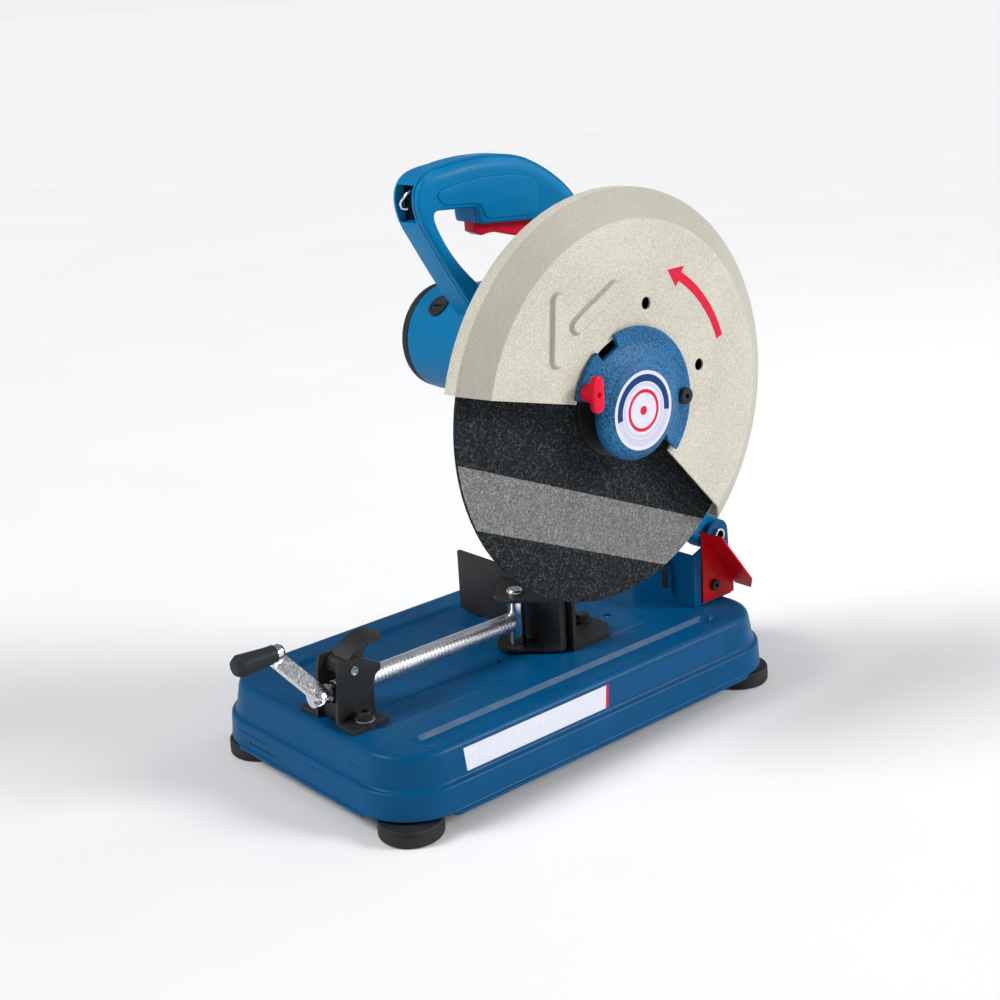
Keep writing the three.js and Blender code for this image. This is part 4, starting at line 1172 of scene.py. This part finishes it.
def brush_cap(index, degrees):
    """A slotted cap, made above the motor's axis and turned round it."""
    x = middle_mm(f"brush_cap_{index}").x
    top = MOTOR.z + MOTOR_R + 1.5
    profile = [(0, top - 7), (10.6, top - 7), (10.6, top), (8, top), (7.2, top - 1), (0, top - 1)]
    cap = turned("z", x, MOTOR.y, profile, 0.6, 48)
    carve(cap, [block(x - 5, x + 5, MOTOR.y - 1.1, MOTOR.y + 1.1, top - 3, top + 2)])
    turn_mesh(cap, at(0, MOTOR.y, MOTOR.z), degrees - 90, "X")
    name = f"brush_cap_turned_{index}"
    replace_node(cap, name, f"brush_cap_{index}")


def cord_gland():
    """A rubber strain relief with bend-relief rings, standing out of the housing's back."""
    y0 = MOTOR.y + MOTOR_R - 0.6
    x = middle_mm("cord_gland").x
    profile = [(0, y0), (10, y0), (10, y0 + 6), (7.4, y0 + 8)]
    for i in range(6):
        r = 7.2 - 0.28 * i
        y = y0 + 10 + 4 * i
        profile += [(r, y), (r - 1.4, y + 0.7), (r - 1.4, y + 1.9), (r - 0.1, y + 2.6)]
    profile += [(5.4, y0 + 34.6), (3.4, y0 + 34.6), (3.4, y0 + 20), (0, y0 + 20)]
    gland = turned("y", MOTOR.z, x, profile, 0.4, 40)
    replace_node(gland, "cord_gland_ribbed", "cord_gland")


# ---- vise
SPINDLE_R = 8.5
THREAD_PITCH = 4.0
CRANK_ROLL = 140


def spindle():
    """The screw: a rounded trapezoidal thread between a plain nose and a turned-down neck."""
    low, high = (datum_mm(p).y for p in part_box("spindle"))
    plain_end = low + 24
    neck = JAW_PIN.y - 8.6
    rows_per_turn = 8
    sides = 40
    rows = int((neck - plain_end) / THREAD_PITCH * rows_per_turn)

    def radius(y, angle):
        phase = (y / THREAD_PITCH - angle / (2 * math.pi)) % 1.0
        ridge = min(1.0, max(0.0, 2.6 * (1 - abs(2 * phase - 1)) - 0.3))
        fade = min(1.0, (y - plain_end) / 3, (neck - y) / 3)
        return SPINDLE_R + 0.4 - 0.38 * max(0.0, fade) * (1 - ridge)

    rings = []
    for i in range(rows + 1):
        y = plain_end + (neck - plain_end) * i / rows
        ring = []
        for k in range(sides):
            angle = 2 * math.pi * k / sides
            r = radius(y, angle)
            ring.append(at(VISE.x + r * math.sin(angle), y, VISE.z + r * math.cos(angle)))
        rings.append(ring)
    dress(skin(rings), "spindle_thread", "spindle", "chrome", "chrome_bar", angle=30)
    nose = turned("y", VISE.z, VISE.x, drum(SPINDLE_R, low, plain_end + 0.5), 1.2, 48)
    flat = block(VISE.x - 20, VISE.x - 1.8, low - 4, low + 17, VISE.z - 30, VISE.z + 30)
    turn_mesh(flat, at(VISE.x, 0, VISE.z), CRANK_ROLL, "Y")
    carve(nose, [flat])
    replace_node(nose, "spindle_nose", "spindle")
    stub = turned("y", VISE.z, VISE.x, drum(5, neck - 1, high), 0.6, 32)
    dress(stub, "spindle_neck", "spindle", "chrome", "chrome_bar")


def jaw_pin():
    low, high = (datum_mm(p).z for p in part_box("jaw_pin"))
    r = 8
    profile = [(0, low), (r, low), (r, high - 2), (r - 1.4, high), (0, high)]
    pin = turned("z", JAW_PIN.x, JAW_PIN.y, profile, 0.6, 56)
    replace_node(pin, "jaw_pin_turned", "jaw_pin")


def jaw():
    """Folded plate: a face and two ears round the pin."""
    low, high = (datum_mm(p).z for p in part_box("jaw"))
    x, y = JAW_PIN.x, JAW_PIN.y
    left, right = x - 43, x + 43
    ear = [(right, 76), (left, 76), (left, 69)] + arc(x, y, 20, 200, 340, 22) + [(right, 69)]
    ears = [prism("z", ear, z0, z0 + 3) for z0 in (low, high - 3)]
    made = carve(block(left, right, 69, 77, low, high), ears, "UNION")
    carve(made, [prism("z", circle(x, y, 8.4, 36), low - 5, high + 5)])
    replace_node(made, "jaw_folded", "jaw", bevel=0.7)


LEVER_PIN = middle_mm("lever_pin")
EAR_INNER = 13


def quick_lever():
    """A curved strap with two cheeks that turn on the lever pin."""
    centre = (-116, 101)
    half = EAR_INNER - 1
    cheek = 3.2
    left, right = VISE.x - half, VISE.x + half
    y, z = LEVER_PIN.y, LEVER_PIN.z
    band = [*arc(*centre, 39, 80, 160, 28), *arc(*centre, 33.5, 152, 82, 26)]
    web = arc(y, z, 8.5, 90, 300, 16) + [(-133, 124)] + arc(*centre, 35, 104, 150, 10)
    pieces = [prism("x", web, x, x + cheek) for x in (left, right - cheek)]
    pieces.append(prism("x", circle(y, z, 8, 36), left, right))
    made = carve(prism("x", band, left, right), pieces, "UNION")
    carve(made, [prism("x", circle(y, z, 4.3, 24), VISE.x - 40, VISE.x + 40)])
    node = "quick_release_lever"
    replace_node(made, "lever_strap", node, bevel=0.8)


def lever_pin():
    """A rivet whose upset heads are dished."""
    low, high = (datum_mm(p).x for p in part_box("lever_pin"))
    profile = [(0, low + 1), (2.2, low + 1), (3, low), (4, low)]
    profile += [(4, high), (3, high), (2.2, high - 1), (0, high - 1)]
    pin = turned("x", LEVER_PIN.y, LEVER_PIN.z, profile, 0.3, 32)
    replace_node(pin, "lever_pin_dished", "lever_pin", "bare_steel")


def bracket_bolt(side):
    """A socket-head bolt on its washer."""
    node = f"vise_bolt_{side}"
    low, high = (datum_mm(p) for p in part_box(node))
    x, y = (low.x + high.x) / 2, (low.y + high.y) / 2
    seat = high.z - 7
    washer = turned("z", x, y, drum(8.6, seat, seat + 1.7, 4.4), 0.4, 40)
    dress(washer, f"vise_washer_{side}", "base", "bare_steel")
    head = turned("z", x, y, drum(6.4, seat + 1.8, high.z + 1.8), 0.7, 40)
    carve(head, [prism("z", circle(x, y, 3.3, 6), high.z - 2.4, high.z + 4)])
    replace_node(head, f"{node}_head", node)


# ---- rear
def lift_spring():
    """The torsion spring round the pivot, as its wound wire with one straight leg."""
    low, high = (datum_mm(p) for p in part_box("lift_spring"))
    wire, coil_r = 1.7, 14
    turns, steps = 9, 24
    points = []
    for i in range(turns * steps + 1):
        angle = math.radians(-90 + 360 * i / steps)
        x = high.x - wire - (high.x - low.x - 2 * wire) * i / (turns * steps)
        y, z = PIVOT.y + coil_r * math.cos(angle), PIVOT.z + coil_r * math.sin(angle)
        points.append((x, y, z))
    x, y, z = points[-1]
    points += [(x, y - 10, z), (x, low.y + 1, z)]
    coil = tube(points, wire)
    replace_node(coil, "lift_spring_coil", "lift_spring", angle=60)


# ---- CAD nodes that stay
SHOWN_EDGE = {
    "pivot_bracket": 1.4,
    "spark_deflector": 0.5,
    "vise_bracket": 0.9,
    "fence": 0.7,
    "arm_casting": 1.2,
    "motor_housing": 0.8,
    "crank": 0.8,
    "guard_back_plate": 0.4,
}
COMMON_EDGE = 0.35
OWN_LOOK = {"crank_grip": "dark_plastic"}


def finish_cad_nodes():
    """Gives every CAD node that still shows its slot's material and softly rounded edges."""
    for name, obj in frame["nodes"].items():
        look = LOOKS[OWN_LOOK.get(name, SLOT_OF[name])]
        obj.data.materials.clear()
        obj.data.materials.append(look)
        if obj.hide_render:
            continue
        for kind in ("custom_normal", "sharp_edge"):
            stored = obj.data.attributes.get(kind)
            if stored:
                obj.data.attributes.remove(stored)
        weld = obj.modifiers.new("weld", "WELD")
        weld.merge_threshold = 0.002 * MM
        edge_round(obj, SHOWN_EDGE.get(name, COMMON_EDGE), 2, 30)


# ---- floor and light
FLOOR_REACH = 400
SKY = (
    # from the horizon, at one half, to overhead, at one
    (0.52, (0.88, 0.88, 0.89)),
    (0.60, (0.20, 0.205, 0.22)),
    (0.80, (0.22, 0.225, 0.24)),
    (1.0, (0.30, 0.30, 0.31)),
)
AIM = Vector((0, 0, 0.25))


def floor():
    corners = [(-1, -1), (1, -1), (1, 1), (-1, 1)]
    points = [(FLOOR_REACH * x, FLOOR_REACH * y, 0) for x, y in corners]
    made = new_object("floor", points, [(0, 1, 2, 3)])
    made.data.materials.append(floor_paint())


def sky():
    world = bpy.data.worlds.new("studio")
    bpy.context.scene.world = world
    world.use_nodes = True
    tree = world.node_tree
    background = tree.nodes["Background"]
    height = remap(tree, axes_of(tree, "Generated")["Z"], -1.0, 1.0)
    tree.links.new(ramp(tree, height, SKY), background.inputs["Color"])
    background.inputs["Strength"].default_value = 1.0


def hang(name, light, place_at):
    obj = bpy.data.objects.new(name, light)
    obj.location = place_at
    obj.rotation_mode = "QUATERNION"
    obj.rotation_quaternion = (AIM - place_at).to_track_quat("-Z", "Y")
    link(obj)


def soft_sun(name, towards, width, power):
    """A far, wide lamp: towards points from the saw to it, width is its spread in degrees."""
    light = bpy.data.lights.new(name, "SUN")
    light.angle = math.radians(width)
    light.energy = power
    hang(name, light, Vector(towards) * 3)


def panel(name, place_at, size, power):
    light = bpy.data.lights.new(name, "AREA")
    light.size = size
    light.energy = power
    hang(name, light, Vector(place_at))


def studio():
    """A wide pale floor under two wide suns, from the front left and the right, and a rim panel."""
    floor()
    sky()
    soft_sun("key", (-0.45, -0.85, 1.0), 26, 2.2)
    soft_sun("side", (0.80, 0.62, 0.60), 20, 2.2)
    panel("rim", (0.4, 1.6, 1.5), 1.0, 6)


# ---- the whole saw
base()
for side_name in ("right", "left"):
    for end_name in ("front", "rear"):
        foot(f"foot_{end_name}_{side_name}")
wall_label("white", (-110, 51), (-110, 56))
wall_label("red", (51.2, 54.4), (56.2, 59.4))
wall_label("blue", (54.6, 212), (59.6, 212))
guard()
turning_arrow()
hub_cover()
hub_label()
wing_screw()
socket_screw("cover_screw", COVER_SEAT, 7.5, 4.6, 2.4, "hub_cover")
wheel()
handle()
grip_pads()
trigger()
wire_hook()
pocket_back_shade()
end_cap()
brush_cap(1, 133)
brush_cap(2, -47)
cord_gland()
spindle()
jaw_pin()
jaw()
quick_lever()
lever_pin()
bracket_bolt("right")
bracket_bolt("left")
lift_spring()
socket_screw("deflector_screw", -26.8, 5.4, 3.4, 2.6, "base")
finish_cad_nodes()
studio()
bpy.context.scene.view_settings.view_transform = "Standard"
